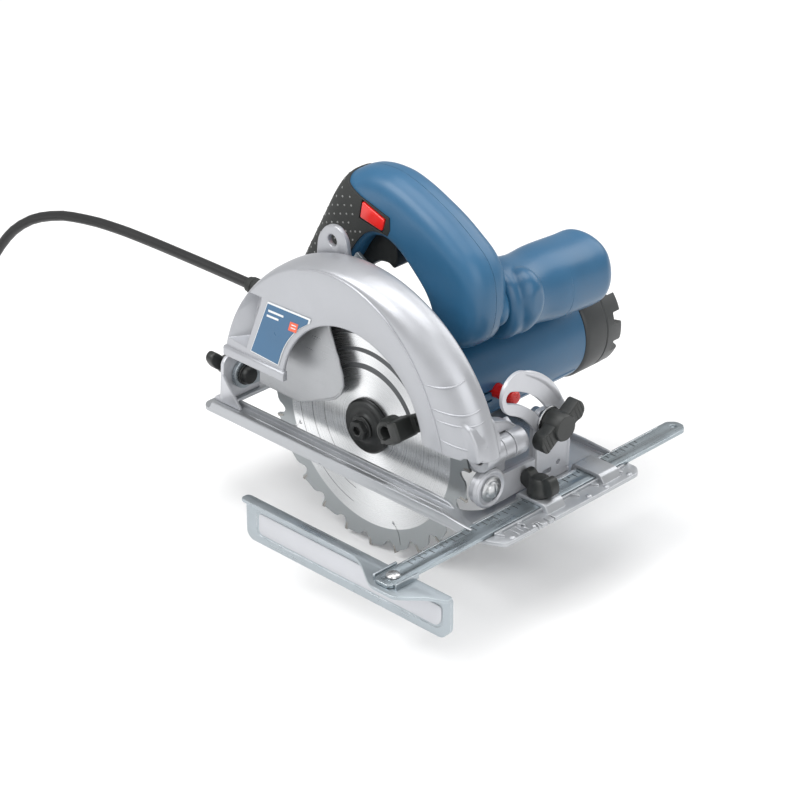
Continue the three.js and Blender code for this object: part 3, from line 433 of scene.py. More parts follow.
# rolled or brushed lines, long in one direction
def buildLines():
    tree, given, out = newGroup("brushedLines", [("Stretch", vector, (30.0, 900.0, 900.0))],
                                [("Value", number)])
    coords = add(tree, "ShaderNodeTexCoord")
    scaled = add(tree, "ShaderNodeVectorMath",
                 {0: coords.outputs["Object"], 1: given.outputs["Stretch"]}, operation="MULTIPLY")
    lines = add(tree, "ShaderNodeTexNoise", {"Vector": scaled.outputs[0], "Scale": 1.0, "Detail": 3.0})
    tree.links.new(lines.outputs["Fac"], out.inputs["Value"])
    return tree


# distance from, and angle about, an axis along y
def buildPolar():
    tree, given, out = newGroup("polar", [("Centre", vector, (0.0, 0.0, 0.0))],
                                [("Radius", number), ("Angle", number)])
    coords = add(tree, "ShaderNodeTexCoord")
    moved = add(tree, "ShaderNodeVectorMath", {0: coords.outputs["Object"], 1: given.outputs["Centre"]},
                operation="SUBTRACT")
    parts = add(tree, "ShaderNodeSeparateXYZ", {0: moved.outputs[0]})
    x, z = parts.outputs["X"], parts.outputs["Z"]
    square = maths(tree, "ADD", maths(tree, "MULTIPLY", x, x), maths(tree, "MULTIPLY", z, z))
    tree.links.new(maths(tree, "SQRT", square), out.inputs["Radius"])
    tree.links.new(maths(tree, "ARCTAN2", z, x), out.inputs["Angle"])
    return tree


groups = {"edgeWear": buildEdgeWear(), "grain": buildGrain(), "patches": buildPatches(),
          "lines": buildLines(), "polar": buildPolar()}


def useGroup(tree, name, output, **sockets):
    node = tree.nodes.new("ShaderNodeGroup")
    node.node_tree = groups[name]
    for key, value in sockets.items():
        node.inputs[key].default_value = value
    return node.outputs[output]


def newMaterial(name, roughness=0.5, metallic=0.0, **fixed):
    material = bpy.data.materials.new(name)
    material.use_nodes = True
    tree = material.node_tree
    shader = tree.nodes["Principled BSDF"]
    shader.inputs["Roughness"].default_value = roughness
    shader.inputs["Metallic"].default_value = metallic
    for key, value in fixed.items():
        shader.inputs[key.replace("_", " ")].default_value = value
    return material, tree, shader


def mixColour(tree, mask, a, b):
    node = add(tree, "ShaderNodeMix", data_type="RGBA")
    for socket, value in ((node.inputs[0], mask), (node.inputs[6], a), (node.inputs[7], b)):
        if isinstance(value, bpy.types.NodeSocket):
            tree.links.new(value, socket)
        elif isinstance(value, tuple):
            socket.default_value = (*value, 1.0)
        else:
            socket.default_value = value
    return node.outputs[2]


# small bumps on top of softly rounded edges
def surface(tree, shader, height, strength, distance, edgeRound):
    rounded = add(tree, "ShaderNodeBevel", {"Radius": edgeRound}, samples=4)
    bump = add(tree, "ShaderNodeBump",
               {"Height": height, "Normal": rounded.outputs[0], "Strength": strength, "Distance": distance})
    tree.links.new(bump.outputs[0], shader.inputs["Normal"])


# cast and painted or tumbled light metal, and plated sheet
def metalFinish(name, colour, worn, roughness, metallic, grainScale, grainDepth, stretch=None, wear=5.0,
                tone=0.12, edgeRound=0.0006):
    material, tree, shader = newMaterial(name, metallic=metallic)
    patches = useGroup(tree, "patches", "Value", Scale=26.0)
    shadeColour = tuple(c * (1 - tone) for c in colour)
    base = mixColour(tree, patches, shadeColour, colour)
    edge = useGroup(tree, "edgeWear", "Mask", Radius=0.0007, Amount=wear)
    tree.links.new(mixColour(tree, edge, base, worn), shader.inputs["Base Color"])
    if stretch:
        lines = useGroup(tree, "lines", "Value", Stretch=stretch)
        rough = maths(tree, "ADD", spread(tree, patches, 0, 1, roughness - 0.05, roughness + 0.06),
                      spread(tree, lines, 0.3, 0.7, -0.06, 0.06))
        height = maths(tree, "ADD", lines, useGroup(tree, "grain", "Height", Scale=grainScale))
    else:
        rough = spread(tree, patches, 0, 1, roughness - 0.05, roughness + 0.06)
        height = useGroup(tree, "grain", "Height", Scale=grainScale)
    tree.links.new(rough, shader.inputs["Roughness"])
    surface(tree, shader, height, grainDepth, 0.0002, edgeRound)
    return material


def plasticFinish(name, colour, lighter, roughness, grainScale=1500.0, grainDepth=0.12, coat=0.0, wear=2.0,
                  edgeRound=0.0006):
    material, tree, shader = newMaterial(name, Coat_Weight=coat, Coat_Roughness=0.2)
    patches = useGroup(tree, "patches", "Value", Scale=18.0)
    base = mixColour(tree, patches, tuple(c * 0.9 for c in colour), colour)
    edge = useGroup(tree, "edgeWear", "Mask", Radius=0.0008, Amount=wear)
    tree.links.new(mixColour(tree, edge, base, lighter), shader.inputs["Base Color"])
    tree.links.new(spread(tree, patches, 0, 1, roughness - 0.05, roughness + 0.07),
                   shader.inputs["Roughness"])
    surface(tree, shader, useGroup(tree, "grain", "Height", Scale=grainScale), grainDepth, 0.0002, edgeRound)
    return material


blade = {"radius": 95.0, "thickness": 2.0, "teeth": 24, "bore": 10.0, "height": 26.0,
         "bandStart": 77.0, "toothDepth": 9.0, "slots": 4, "arcs": (44.0, 56.0, 68.0)}


# ground centre with painted highlight streaks, dull tooth band, three printed arcs and circular grinding
# lines
def bladeFinish():
    material, tree, shader = newMaterial("bladeSteel", metallic=0.95)
    centre = place((0, 0, blade["height"]))
    polarNode = tree.nodes.new("ShaderNodeGroup")
    polarNode.node_tree = groups["polar"]
    polarNode.inputs["Centre"].default_value = centre
    radius, angle = polarNode.outputs["Radius"], polarNode.outputs["Angle"]
    joined = add(tree, "ShaderNodeCombineXYZ", {0: maths(tree, "MULTIPLY", radius, 2600.0)})
    grinding = add(tree, "ShaderNodeTexNoise", {"Vector": joined.outputs[0], "Scale": 1.0, "Detail": 3.0})
    band = spread(tree, radius, (blade["bandStart"] - 0.4) * millimetre, blade["bandStart"] * millimetre)
    # painted highlight: light streaks in four pairs that fan out from the spindle, painted into the ground
    # centre's colour
    fanHighlight = maths(tree, "SINE", maths(tree, "ADD", maths(tree, "MULTIPLY", angle, 4.0), 0.7))
    fanHighlight = spread(tree, fanHighlight, -1, 1, 0.78, 1.0)
    bright = mixColour(tree, spread(tree, fanHighlight, 0.78, 1.0), (0.48, 0.49, 0.5), (0.78, 0.79, 0.8))
    plain = mixColour(tree, band, bright, (0.33, 0.35, 0.36))
    ink = None
    for k, arcRadius in enumerate(blade["arcs"]):
        turn = maths(tree, "SUBTRACT", angle, math.radians(62 - 6 * k))
        thick = spread(tree, maths(tree, "COSINE", turn), 0.15, 1.0, 0.45, 4.6 - 0.6 * k, smooth=True)
        gap = maths(tree, "ABSOLUTE", maths(tree, "SUBTRACT", radius, arcRadius * millimetre))
        inside = maths(tree, "LESS_THAN", maths(tree, "MULTIPLY", gap, 2000.0), thick)
        ink = inside if ink is None else maths(tree, "MAXIMUM", ink, inside)
    # the printed arcs stop short of the lower front
    turn = maths(tree, "SUBTRACT", angle, math.radians(-40))
    low = maths(tree, "GREATER_THAN", maths(tree, "COSINE", turn), 0.45)
    ink = maths(tree, "MULTIPLY", ink, maths(tree, "SUBTRACT", 1.0, low))
    tree.links.new(mixColour(tree, ink, plain, (0.09, 0.095, 0.1)), shader.inputs["Base Color"])
    rough = spread(tree, grinding.outputs["Fac"], 0.3, 0.7, 0.2, 0.34)
    rough = maths(tree, "ADD", rough, maths(tree, "MULTIPLY", band, 0.16))
    tree.links.new(maths(tree, "ADD", rough, maths(tree, "MULTIPLY", ink, 0.2)), shader.inputs["Roughness"])
    tree.links.new(maths(tree, "SUBTRACT", 0.95, maths(tree, "MULTIPLY", ink, 0.6)),
                   shader.inputs["Metallic"])
    surface(tree, shader, grinding.outputs["Fac"], 0.12, 0.0001, 0.0003)
    return material


finishes = {
    "cast": metalFinish("castSilver", (0.43, 0.44, 0.465), (0.62, 0.63, 0.65), 0.36, 0.55, 1400.0, 0.16,
                        wear=3.0, tone=0.06, edgeRound=0.0009),
    "castWhite": metalFinish("castPale", (0.56, 0.57, 0.6), (0.7, 0.7, 0.72), 0.4, 0.4, 1300.0, 0.14,
                             wear=2.0, tone=0.06, edgeRound=0.001),
    "sheet": metalFinish("guardSheet", (0.4, 0.41, 0.425), (0.58, 0.59, 0.6), 0.34, 0.75, 1600.0, 0.08,
                         stretch=(40.0, 900.0, 1500.0), wear=4.0),
    "zinc": metalFinish("zincSheet", (0.4, 0.445, 0.475), (0.64, 0.67, 0.69), 0.32, 0.85, 1500.0, 0.1,
                        stretch=(45.0, 1400.0, 900.0), wear=5.0),
    "zincAcross": metalFinish("zincBar", (0.36, 0.41, 0.44), (0.62, 0.65, 0.67), 0.3, 0.88, 1500.0, 0.08,
                              stretch=(1400.0, 45.0, 900.0), wear=5.0),
    "base": metalFinish("basePlate", (0.44, 0.455, 0.475), (0.66, 0.67, 0.69), 0.36, 0.7, 1200.0, 0.12,
                        stretch=(50.0, 1200.0, 900.0), wear=4.0, tone=0.08),
    "steel": metalFinish("turnedSteel", (0.6, 0.61, 0.62), (0.78, 0.79, 0.8), 0.25, 0.95, 1800.0, 0.06,
                         wear=4.0),
    "blackened": metalFinish("blackenedSteel", (0.035, 0.037, 0.037), (0.25, 0.25, 0.25), 0.42, 0.55,
                             1500.0, 0.14, wear=2.5, tone=0.25),
    "iron": metalFinish("laminatedIron", (0.2, 0.2, 0.21), (0.4, 0.4, 0.41), 0.5, 0.7, 1200.0, 0.2,
                        stretch=(60.0, 1800.0, 60.0)),
    "bronze": metalFinish("bronze", (0.6, 0.42, 0.19), (0.75, 0.58, 0.3), 0.32, 0.9, 1500.0, 0.08),
    "copper": metalFinish("copper", (0.64, 0.34, 0.2), (0.8, 0.5, 0.32), 0.3, 0.92, 1500.0, 0.08),
    "carbon": plasticFinish("pressedCarbon", (0.03, 0.03, 0.033), (0.1, 0.1, 0.1), 0.6),
    "blue": plasticFinish("bluePlastic", (0.022, 0.108, 0.215), (0.06, 0.18, 0.32), 0.36, 1700.0, 0.1,
                          coat=0.1),
    "gray": plasticFinish("capPlastic", (0.042, 0.045, 0.046), (0.12, 0.12, 0.12), 0.42, 1500.0, 0.14),
    "dots": plasticFinish("dotRubber", (0.21, 0.215, 0.21), (0.3, 0.3, 0.3), 0.6, 1500.0, 0.1),
    "black": plasticFinish("blackPlastic", (0.017, 0.019, 0.018), (0.07, 0.07, 0.07), 0.4, 1500.0, 0.12),
    "rubber": plasticFinish("gripRubber", (0.02, 0.022, 0.021), (0.05, 0.05, 0.05), 0.62, 1100.0, 0.25),
    "red": plasticFinish("redPlastic", (0.78, 0.012, 0.008), (0.9, 0.1, 0.06), 0.3, 1700.0, 0.06, coat=0.3),
    "orange": plasticFinish("orangePrint", (0.8, 0.12, 0.05), (0.85, 0.2, 0.1), 0.4, 1700.0, 0.04),
    "white": plasticFinish("whitePrint", (0.75, 0.77, 0.78), (0.8, 0.8, 0.8), 0.4, 1700.0, 0.04),
    "label": plasticFinish("blueFoil", (0.022, 0.11, 0.225), (0.06, 0.18, 0.3), 0.3, 1700.0, 0.04, coat=0.2),
    "cord": plasticFinish("cordRubber", (0.014, 0.014, 0.0145), (0.05, 0.05, 0.05), 0.42, 900.0, 0.2),
    "carbide": metalFinish("carbideTip", (0.3, 0.29, 0.27), (0.6, 0.6, 0.6), 0.3, 0.8, 2000.0, 0.05),
    "blade": bladeFinish(),
}
print("finishes built:", len(finishes))

stage = {"floor": -69.8, "size": 12.0, "world": 0.5, "aim": (0, 0, 60),
         "lamps": {"key": ((-600, -1300, 1500), 1.1, 24.0), "fill": ((1500, -900, 900), 1.5, 12.0),
                   "back": ((300, 1500, 1300), 1.5, 16.0), "top": ((0, 0, 1900), 1.4, 20.0)}}


def makeStage():
    bm = bmesh.new()
    half = stage["size"] / 2
    height = stage["floor"] * millimetre
    bm.faces.new([bm.verts.new((x, y, height)) for x, y in
                  ((-half, -half), (half, -half), (half, half), (-half, half))])
    floor = newObject("floor", bm)
    material, tree, shader = newMaterial("paleFloor", roughness=0.6)
    speckle = useGroup(tree, "patches", "Value", Scale=3.0)
    tree.links.new(mixColour(tree, speckle, (0.86, 0.86, 0.86), (0.88, 0.88, 0.88)),
                   shader.inputs["Base Color"])
    floor.data.materials.append(material)
    for name, (spot, size, power) in stage["lamps"].items():
        data = bpy.data.lights.new(name, "AREA")
        data.energy = power
        data.size = size
        lamp = bpy.data.objects.new(name, data)
        lamp.location = place(spot)
        lamp.rotation_mode = "QUATERNION"
        lamp.rotation_quaternion = (place(stage["aim"]) - lamp.location).to_track_quat("-Z", "Y")
        scene.collection.objects.link(lamp)
    world = bpy.data.worlds.new("studio")
    scene.world = world
    world.use_nodes = True
    sky = world.node_tree.nodes["Background"]
    sky.inputs["Color"].default_value = (1.0, 1.0, 1.0, 1.0)
    sky.inputs["Strength"].default_value = stage["world"]
    scene.view_settings.view_transform = "Standard"


makeStage()

cordSizes = {"radius": 4.0, "exit": (-168.3, 45, 61.5), "coilMiddle": (-515, -55), "meanRadius": 45.0,
             "pitch": 8.0, "turns": 12, "stepsPerTurn": 30, "floor": -69.3, "length": 4.0}


def cordRoute():
    route = [cordSizes["exit"], (-195, 45, 61.45), (-220, 45, 61.3), (-245, 45, 61.0), (-270, 45, 60.6),
             (-290, 44.9, 60.1), (-310, 44.6, 59.4), (-350, 43, 56), (-388, 40, 48), (-420, 35, 32),
             (-441, 29, 9), (-453, 22, -16), (-461, 14.5, -37), (-473, 6.5, -54), (-492, 0.2, -63)]
    row = cordSizes["pitch"] * math.sqrt(3) / 2
    # places of the turns across the bundle, as (way out, row), in the order they are laid
    slots = ([(u, 0) for u in (8, 0, -8)] + [(u, 1) for u in (-12, -4, 4, 12)]
             + [(u, 2) for u in (8, 0, -8)] + [(u, 3) for u in (-4, 4)])
    last = len(slots) - 1
    steps = cordSizes["stepsPerTurn"]
    middle = cordSizes["coilMiddle"]
    low = cordSizes["floor"] + cordSizes["radius"]
    total = cordSizes["turns"] * steps + steps // 4
    for i in range(total + 1):
        turn, part = divmod(i, steps)
        blend = max(0.0, (part / steps - 0.7) / 0.3)  # the end of a turn crosses to the next place
        blend = blend * blend * (3 - 2 * blend)
        here, after = slots[min(turn, last)], slots[min(turn + 1, last)]
        u = here[0] + (after[0] - here[0]) * blend
        height = low + (here[1] + (after[1] - here[1]) * blend) * row
        route.append((*around(middle, cordSizes["meanRadius"] + u, 90 + 360 * i / steps), height))
    route += [(-567.5, -68, -47), (-569.5, -82, -50), (-567, -97, -53.5), (-559, -111, -56),
              (-546, -121.5, -57.6), (-533, -126.0, -58), (-524, -126.3, -58)]
    return route


def makeCord():
    spline = bpy.data.curves.new("mainsCord", "CURVE")
    spline.dimensions = "3D"
    spline.bevel_depth = cordSizes["radius"] * millimetre
    spline.bevel_resolution = 5
    spline.resolution_u = 3
    spline.use_fill_caps = True
    route = cordRoute()
    line = spline.splines.new("BEZIER")
    line.bezier_points.add(len(route) - 1)
    for point, spot in zip(line.bezier_points, route):
        point.co = place(spot)
        point.handle_left_type = point.handle_right_type = "AUTO"
    cord = bpy.data.objects.new("mainsCord", spline)
    scene.collection.objects.link(cord)
    spline.materials.append(finishes["cord"])
    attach(cord, "saw_body")
    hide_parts("cord_tube", "cord_coil")
    return cord


bootRings = {"count": 9, "pitch": 5.4, "thin": 5.7, "grow": 0.27}


# ringed sleeve that thickens towards the handle
def makeBoot():
    x0, y, z = cordSizes["exit"]
    profile = [(4.15, x0), (5.2, x0), (bootRings["thin"], x0 + 0.6)]
    for i in range(bootRings["count"]):
        start = x0 + 3 + i * bootRings["pitch"]
        r = bootRings["thin"] + i * bootRings["grow"]
        profile += [(r, start), (r + 0.75, start + 0.5), (r + 0.8, start + 3.2), (r + 0.1, start + 3.7)]
    profile += [(8.4, x0 + 53), (9.0, x0 + 54.5), (9.0, x0 + 72), (0, x0 + 72), (0, x0 + 60),
                (4.15, x0 + 58)]
    boot = turned(profile, (y, z), "x", 48)
    return finishPiece(boot, "cordBoot", "saw_body", finishes["rubber"], ["cord_boot"], 50)


# hook and loop strap round the bundle
def makeTie():
    middle = cordSizes["coilMiddle"]
    centre = (middle[1] + cordSizes["meanRadius"], cordSizes["floor"] + 16.4)
    half = 17.3
    loop = smoothLoop([(-half, 0), (-half * 0.78, -half * 0.8), (0, -half * 0.92), (half * 0.78, -half * 0.8),
                       (half, 0), (half * 0.72, half * 0.72), (0, half * 0.86), (-half * 0.72, half * 0.72)],
                       6)
    outer = [(centre[0] + u, centre[1] + v) for u, v in loop]
    inner = [(centre[0] + u * 0.93, centre[1] + v * 0.93) for u, v in loop]
    band = prism(outer, middle[0] - 6, middle[0] + 6, "x", [inner])
    tail = block(middle[0] - 5.4, middle[0] + 5.4, centre[0] - 4, centre[0] + 12, centre[1] + half * 0.84,
                 centre[1] + half * 0.84 + 1.5)
    strap = soften(weld(band, tail), 0.4)
    return finishPiece(strap, "cordTie", "saw_body", finishes["black"], ["cord_tie"])


def makePlug():
    middle = cordSizes["coilMiddle"]
    y = middle[1] - cordSizes["meanRadius"] - 15 - 0.3 - 11
    z = cordSizes["floor"] + 11.3
    x = middle[0]
    profile = [(4.2, x - 13), (5.2, x - 12.5)]
    for i in range(4):
        profile += [(5.4 + 0.5 * i, x - 11 + i * 3.4), (6.3 + 0.5 * i, x - 10.4 + i * 3.4),
                    (6.3 + 0.5 * i, x - 8.8 + i * 3.4), (5.6 + 0.5 * i, x - 8.2 + i * 3.4)]
    profile += [(8.4, x + 5), (10.6, x + 12), (11.0, x + 15), (11.0, x + 31), (10.2, x + 34), (0, x + 34),
                (0, x - 2), (4.2, x - 4)]
    body = turned(profile, (y, z), "x", 48)
    cut(body, *[block(x + 14, x + 30, y - 12, y - 9.7, z - 4 + k, z - 3 + k) for k in (0, 2.6, 5.2, 7.8)])
    plug = finishPiece(body, "plugBody", "saw_body", finishes["cord"], ["mains_plug"])
    pins = [turned([(0, x + 33), (2.0, x + 33), (2.0, x + 43), (2.4, x + 43.4), (2.4, x + 51), (1.2, x + 53),
                    (0, x + 53)], (y + side * 6.65, z), "x", 24) for side in (-1, 1)]
    pins = finishPiece(together(*pins), "plugPins", "saw_body", finishes["steel"])
    return plug, pins


cord = makeCord()
boot = makeBoot()
tie = makeTie()
plug, pins = makePlug()
print("cord made")


def newGeometryTree(name, inputs):
    tree = bpy.data.node_groups.new(name, "GeometryNodeTree")
    tree.interface.new_socket("Geometry", in_out="INPUT", socket_type="NodeSocketGeometry")
    for label, kind, value in inputs:
        tree.interface.new_socket(label, in_out="INPUT", socket_type=kind).default_value = value
    tree.interface.new_socket("Geometry", in_out="OUTPUT", socket_type="NodeSocketGeometry")
    return tree, tree.nodes.new("NodeGroupInput"), tree.nodes.new("NodeGroupOutput")


# raised domes on the points of a carrier mesh, facing out along its normals
def buildDomes():
    tree, given, out = newGeometryTree("domes", [("Radius", number, 0.8), ("Height Share", number, 0.5),
                                                 ("Seed", "NodeSocketInt", 3)])
    dome = add(tree, "GeometryNodeMeshUVSphere", {"Segments": 8, "Rings": 4, "Radius": 1.0})
    normal = add(tree, "GeometryNodeInputNormal")
    turn = add(tree, "FunctionNodeAlignEulerToVector", {"Vector": normal.outputs[0]}, axis="Z")
    flat = add(tree, "ShaderNodeCombineXYZ", {0: given.outputs["Radius"], 1: given.outputs["Radius"]})
    tree.links.new(maths(tree, "MULTIPLY", given.outputs["Radius"], given.outputs["Height Share"]),
                   flat.inputs[2])
    change = add(tree, "FunctionNodeRandomValue", {"Min": 0.94, "Max": 1.06, "Seed": given.outputs["Seed"]},
                 data_type="FLOAT")
    size = add(tree, "ShaderNodeVectorMath", {0: flat.outputs[0]}, operation="SCALE")
    tree.links.new(change.outputs[1], size.inputs["Scale"])
    spots = add(tree, "GeometryNodeInstanceOnPoints",
                {"Points": given.outputs["Geometry"], "Instance": dome.outputs["Mesh"],
                 "Rotation": turn.outputs[0], "Scale": size.outputs[0]})
    real = add(tree, "GeometryNodeRealizeInstances", {"Geometry": spots.outputs[0]})
    named = add(tree, "GeometryNodeSetMaterial", {"Geometry": real.outputs[0]})
    tree.links.new(named.outputs[0], out.inputs[0])
    return tree, named


# short bars in a row: ticks of a scale, with a longer one every so many
def buildTicks():
    tree, given, out = newGeometryTree("ticks", [
        ("Count", "NodeSocketInt", 10), ("Step", number, 1.0), ("Width", number, 0.3),
        ("Short", number, 3.0), ("Long", number, 5.0), ("Long Every", "NodeSocketInt", 5),
        ("Depth", number, 0.2)])
    line = add(tree, "GeometryNodeMeshLine", {"Count": given.outputs["Count"]})
    run = add(tree, "ShaderNodeCombineXYZ", {1: given.outputs["Step"]})
    tree.links.new(run.outputs[0], line.inputs["Offset"])
    bar = add(tree, "GeometryNodeMeshCube", {"Size": (1.0, 1.0, 1.0)})
    index = add(tree, "GeometryNodeInputIndex")
    left = maths(tree, "MODULO", index.outputs[0], given.outputs["Long Every"])
    isLong = maths(tree, "LESS_THAN", left, 0.5)
    extra = maths(tree, "SUBTRACT", given.outputs["Long"], given.outputs["Short"])
    length = maths(tree, "ADD", given.outputs["Short"], maths(tree, "MULTIPLY", isLong, extra))
    size = add(tree, "ShaderNodeCombineXYZ", {0: length, 1: given.outputs["Width"],
                                              2: given.outputs["Depth"]})
    shift = add(tree, "ShaderNodeCombineXYZ", {0: maths(tree, "MULTIPLY", length, 0.5)})
    moved = add(tree, "GeometryNodeSetPosition", {"Geometry": line.outputs[0], "Offset": shift.outputs[0]})
    bars = add(tree, "GeometryNodeInstanceOnPoints",
               {"Points": moved.outputs[0], "Instance": bar.outputs["Mesh"], "Scale": size.outputs[0]})
    real = add(tree, "GeometryNodeRealizeInstances", {"Geometry": bars.outputs[0]})
    named = add(tree, "GeometryNodeSetMaterial", {"Geometry": real.outputs[0]})
    tree.links.new(named.outputs[0], out.inputs[0])
    return tree, named


repeats = {"domes": buildDomes(), "ticks": buildTicks()}


# runs one of the trees on a carrier of points and returns the plain mesh
def repeat(kind, points, normals, material, **values):
    bm = bmesh.new()
    for k, spot in enumerate(points):
        if not normals:
            bm.verts.new(spot)
            continue
        # a tiny triangle carries the point and its direction
        axis = Vector(normals[k]).normalized()
        side = axis.orthogonal().normalized()
        other = axis.cross(side)
        corners = [Vector(spot) + (side * math.cos(a) + other * math.sin(a)) * 0.01
                   for a in (0, 2.094, 4.189)]
        bm.faces.new([bm.verts.new(c) for c in corners])
    carrier = newObject("carrier", bm)
    source, named = repeats[kind]
    tree = source.copy()
    tree.nodes[named.name].inputs["Material"].default_value = material
    if normals:
        caught = tree.nodes.new("GeometryNodeCaptureAttribute")
        caught.capture_items.new("VECTOR", "Normal")
        caught.domain = "FACE"
        centres = tree.nodes.new("GeometryNodeMeshToPoints")
        centres.mode = "FACES"
        tree.links.new(tree.nodes["Group Input"].outputs["Geometry"], caught.inputs[0])
        tree.links.new(tree.nodes["Normal"].outputs[0], caught.inputs[1])
        tree.links.new(caught.outputs[0], centres.inputs["Mesh"])
        tree.links.new(centres.outputs[0], tree.nodes["Instance on Points"].inputs["Points"])
        tree.links.new(caught.outputs[1], tree.nodes["Align Euler to Vector"].inputs["Vector"])
    step = carrier.modifiers.new("repeat", "NODES")
    step.node_group = tree
    sockets = {item.name: item.identifier for item in tree.interface.items_tree
               if item.in_out == "INPUT"}
    for key, value in values.items():
        step[sockets[key.replace("_", " ")]] = value
    carrier.update_tag()
    return applyModifiers(carrier)


def hexagon(middle, radius, turn=12):
    return [around(middle, radius, turn + 60 * i) for i in range(6)]


spindle = (0, blade["height"])


def makeBlade():
    radius, root = blade["radius"], blade["radius"] - blade["toothDepth"]
    pitch = 360 / blade["teeth"]
    # back of the tooth, tip, face, round gullet, kicker
    tooth = ((radius - 0.9, 0.0), (radius - 0.95, -0.35), (root + 3.4, -0.55), (root + 1.2, -1.1),
             (root - 0.2, -2.3), (root + 0.3, -3.6), (root + 1.9, -4.8), (root + 4.4, -6.0),
             (root + 5.6, -7.6), (radius - 2.6, -11.0), (radius - 1.7, -13.0))
    points = [around(spindle, r, turn - i * pitch) for i in range(blade["teeth"]) for r, turn in tooth]
    half = blade["thickness"] / 2
    disc = prism(points, -half * 0.8, half * 0.8, "y", [arc(spindle, blade["bore"], 0, 350, 35)])
    # bent relief slots that end in a small round hole
    line = [(88, 0), (80, 1.2), (75, 0.2), (72, -1.6)]
    edges = [(r, w + 0.25) for r, w in line] + [(r, w - 0.25) for r, w in line[::-1]]
    slots = []
    for i in range(blade["slots"]):
        angle = 20 + 360 / blade["slots"] * i
        slots.append(prism(spoke(spindle, angle, edges), -2, 2))
        slots.append(disk(1.3, -2, 2, spoke(spindle, angle, line)[-1], "y", 20))
    cut(disc, *slots)
    finishPiece(soften(disc, 0.12, 1), "sawBlade", "spindle_unit", finishes["blade"],
                ["saw_blade"], 30)
    tip = ((radius - 6.4, 0.2), (radius, 0.05), (radius - 0.7, 2.3), (radius - 6.0, 1.6))
    tips = [prism(spoke(spindle, -i * pitch, tip), -half, half) for i in range(blade["teeth"])]
    finishPiece(together(*tips), "carbideTips", "spindle_unit", finishes["carbide"])


flange = {"radius": 20.0, "face": 1.3}


def makeFlanges():
    y, wide = -flange["face"], flange["radius"]
    outer = turned([(4.3, y - 5.5), (8.6, y - 5.5), (9.6, y - 5.2), (10.2, y - 4.4), (12.6, y - 3.1),
                    (15.5, y - 3.3), (17.6, y - 3.8), (18.6, y - 3.7), (wide - 0.2, y - 2.4),
                    (wide, y - 1.9), (wide, y - 0.2), (wide - 0.2, y), (4.3, y)], spindle, "y", 96)
    notch = block(-20.8, -17.6, y - 6, y - 1.2, spindle[1] + 6.5, spindle[1] + 9.5)
    cut(outer, notch)
    finishPiece(soften(outer, 0.25, 2, 40), "outerFlange", "spindle_unit",
                finishes["blackened"], ["outer_flange"], 40)
    head = y - 5.8
    bolt = turned([(0, head), (9, head), (9.2, head - 0.4), (9.2, head - 1.3), (8.6, head - 1.7),
                   (0, head - 1.7)], spindle, "y", 64)
    hexHead = soften(prism(hexagon(spindle, 7.6), head - 6, head - 1), 0.5, 2)
    weld(bolt, hexHead, disk(4.0, head - 1, 18, spindle, "y", 40))
    cut(bolt, prism(hexagon(spindle, 3.4), head - 7, head - 2.2),
        turned([(0, head - 6.6), (4.2, head - 6.6), (3.4, head - 5.6), (0, head - 5.6)], spindle, "y", 40))
    finishPiece(bolt, "arborBolt", "spindle_unit", finishes["blackened"], ["arbor_bolt"])
    face = flange["face"]
    inner = turned([(6.3, -0.7), (9.7, -0.7), (9.7, face), (wide - 0.4, face), (wide, face + 0.4),
                    (wide, face + 1.9),
                    (19.4, face + 2.3), (12.6, face + 2.6), (12, face + 3.0), (12, face + 4.6),
                    (6.3, face + 4.6)], spindle, "y", 96)
    finishPiece(inner, "innerFlange", "spindle_unit", finishes["steel"], ["inner_flange"], 40)


makeBlade()
makeFlanges()
print("blade made")

guard = {"outer": 125.0, "right": -25.0, "left": 10.0, "wall": 2.5, "foot": 48.5, "cavity": 102.0,
         "archMiddle": (6.4, 41.4), "arch": 67.0, "knuckle": 10.0}
depth = {"pivot": (110, 46), "hole": 4.3, "radius": 165, "boltAngle": 6, "swing": 33}
motor = {"axis": (14, 47.5), "radius": 38.0, "start": 34.3, "end": 165.0, "cap": 39.5, "capEnd": 203.3,
         "room": 38.4}


# spot on the depth arc, at an angle above the level line through the front pivot
def depthPoint(radius, angle):
    return around(depth["pivot"], -radius, -angle)


# radius where the flat face ends and the round shoulder begins, at an angle about the spindle
def shoulderStart(angle):
    share = min(max((angle - 20) / 85, 0), 1)
    share = share * share * (3 - 2 * share)
    return 93.5 + 26.0 * share


def shoulderPoint(angle, share, inward=0.0):
    start = shoulderStart(angle)
    t = share * math.pi / 2
    outer, right = guard["outer"] - inward, guard["right"] + inward
    start = min(start, outer - 2)
    return (start + (outer - start) * math.sin(t), right + (-6 - right) * (1 - math.cos(t)))


def aroundSpindle(radius, angle, y):
    u, v = around(spindle, radius, angle)
    return Vector((u, y, v))


def guardSlice(angle):
    wall = guard["wall"]
    outer = [(45, guard["right"])] + [shoulderPoint(angle, k / 12) for k in range(13)]
    outer += [(guard["outer"], -3.4), (124.4, -1.6), (122.6, -0.2), (108.5, 5.0), (106, 6.4),
              (105.6, 7.4), (105.6, 9.4), (105, guard["left"]), (45, guard["left"])]
    inner = [(45, 7.5), (101.4, 7.5), (102, 7), (102, 3.6), (103, 2.8), (119.5, -1.8), (121.5, -3.4)]
    inner += [shoulderPoint(angle, k / 12, wall) for k in range(12, -1, -1)] + [(45, guard["right"] + wall)]
    return [aroundSpindle(r, angle, y) for r, y in outer + inner]


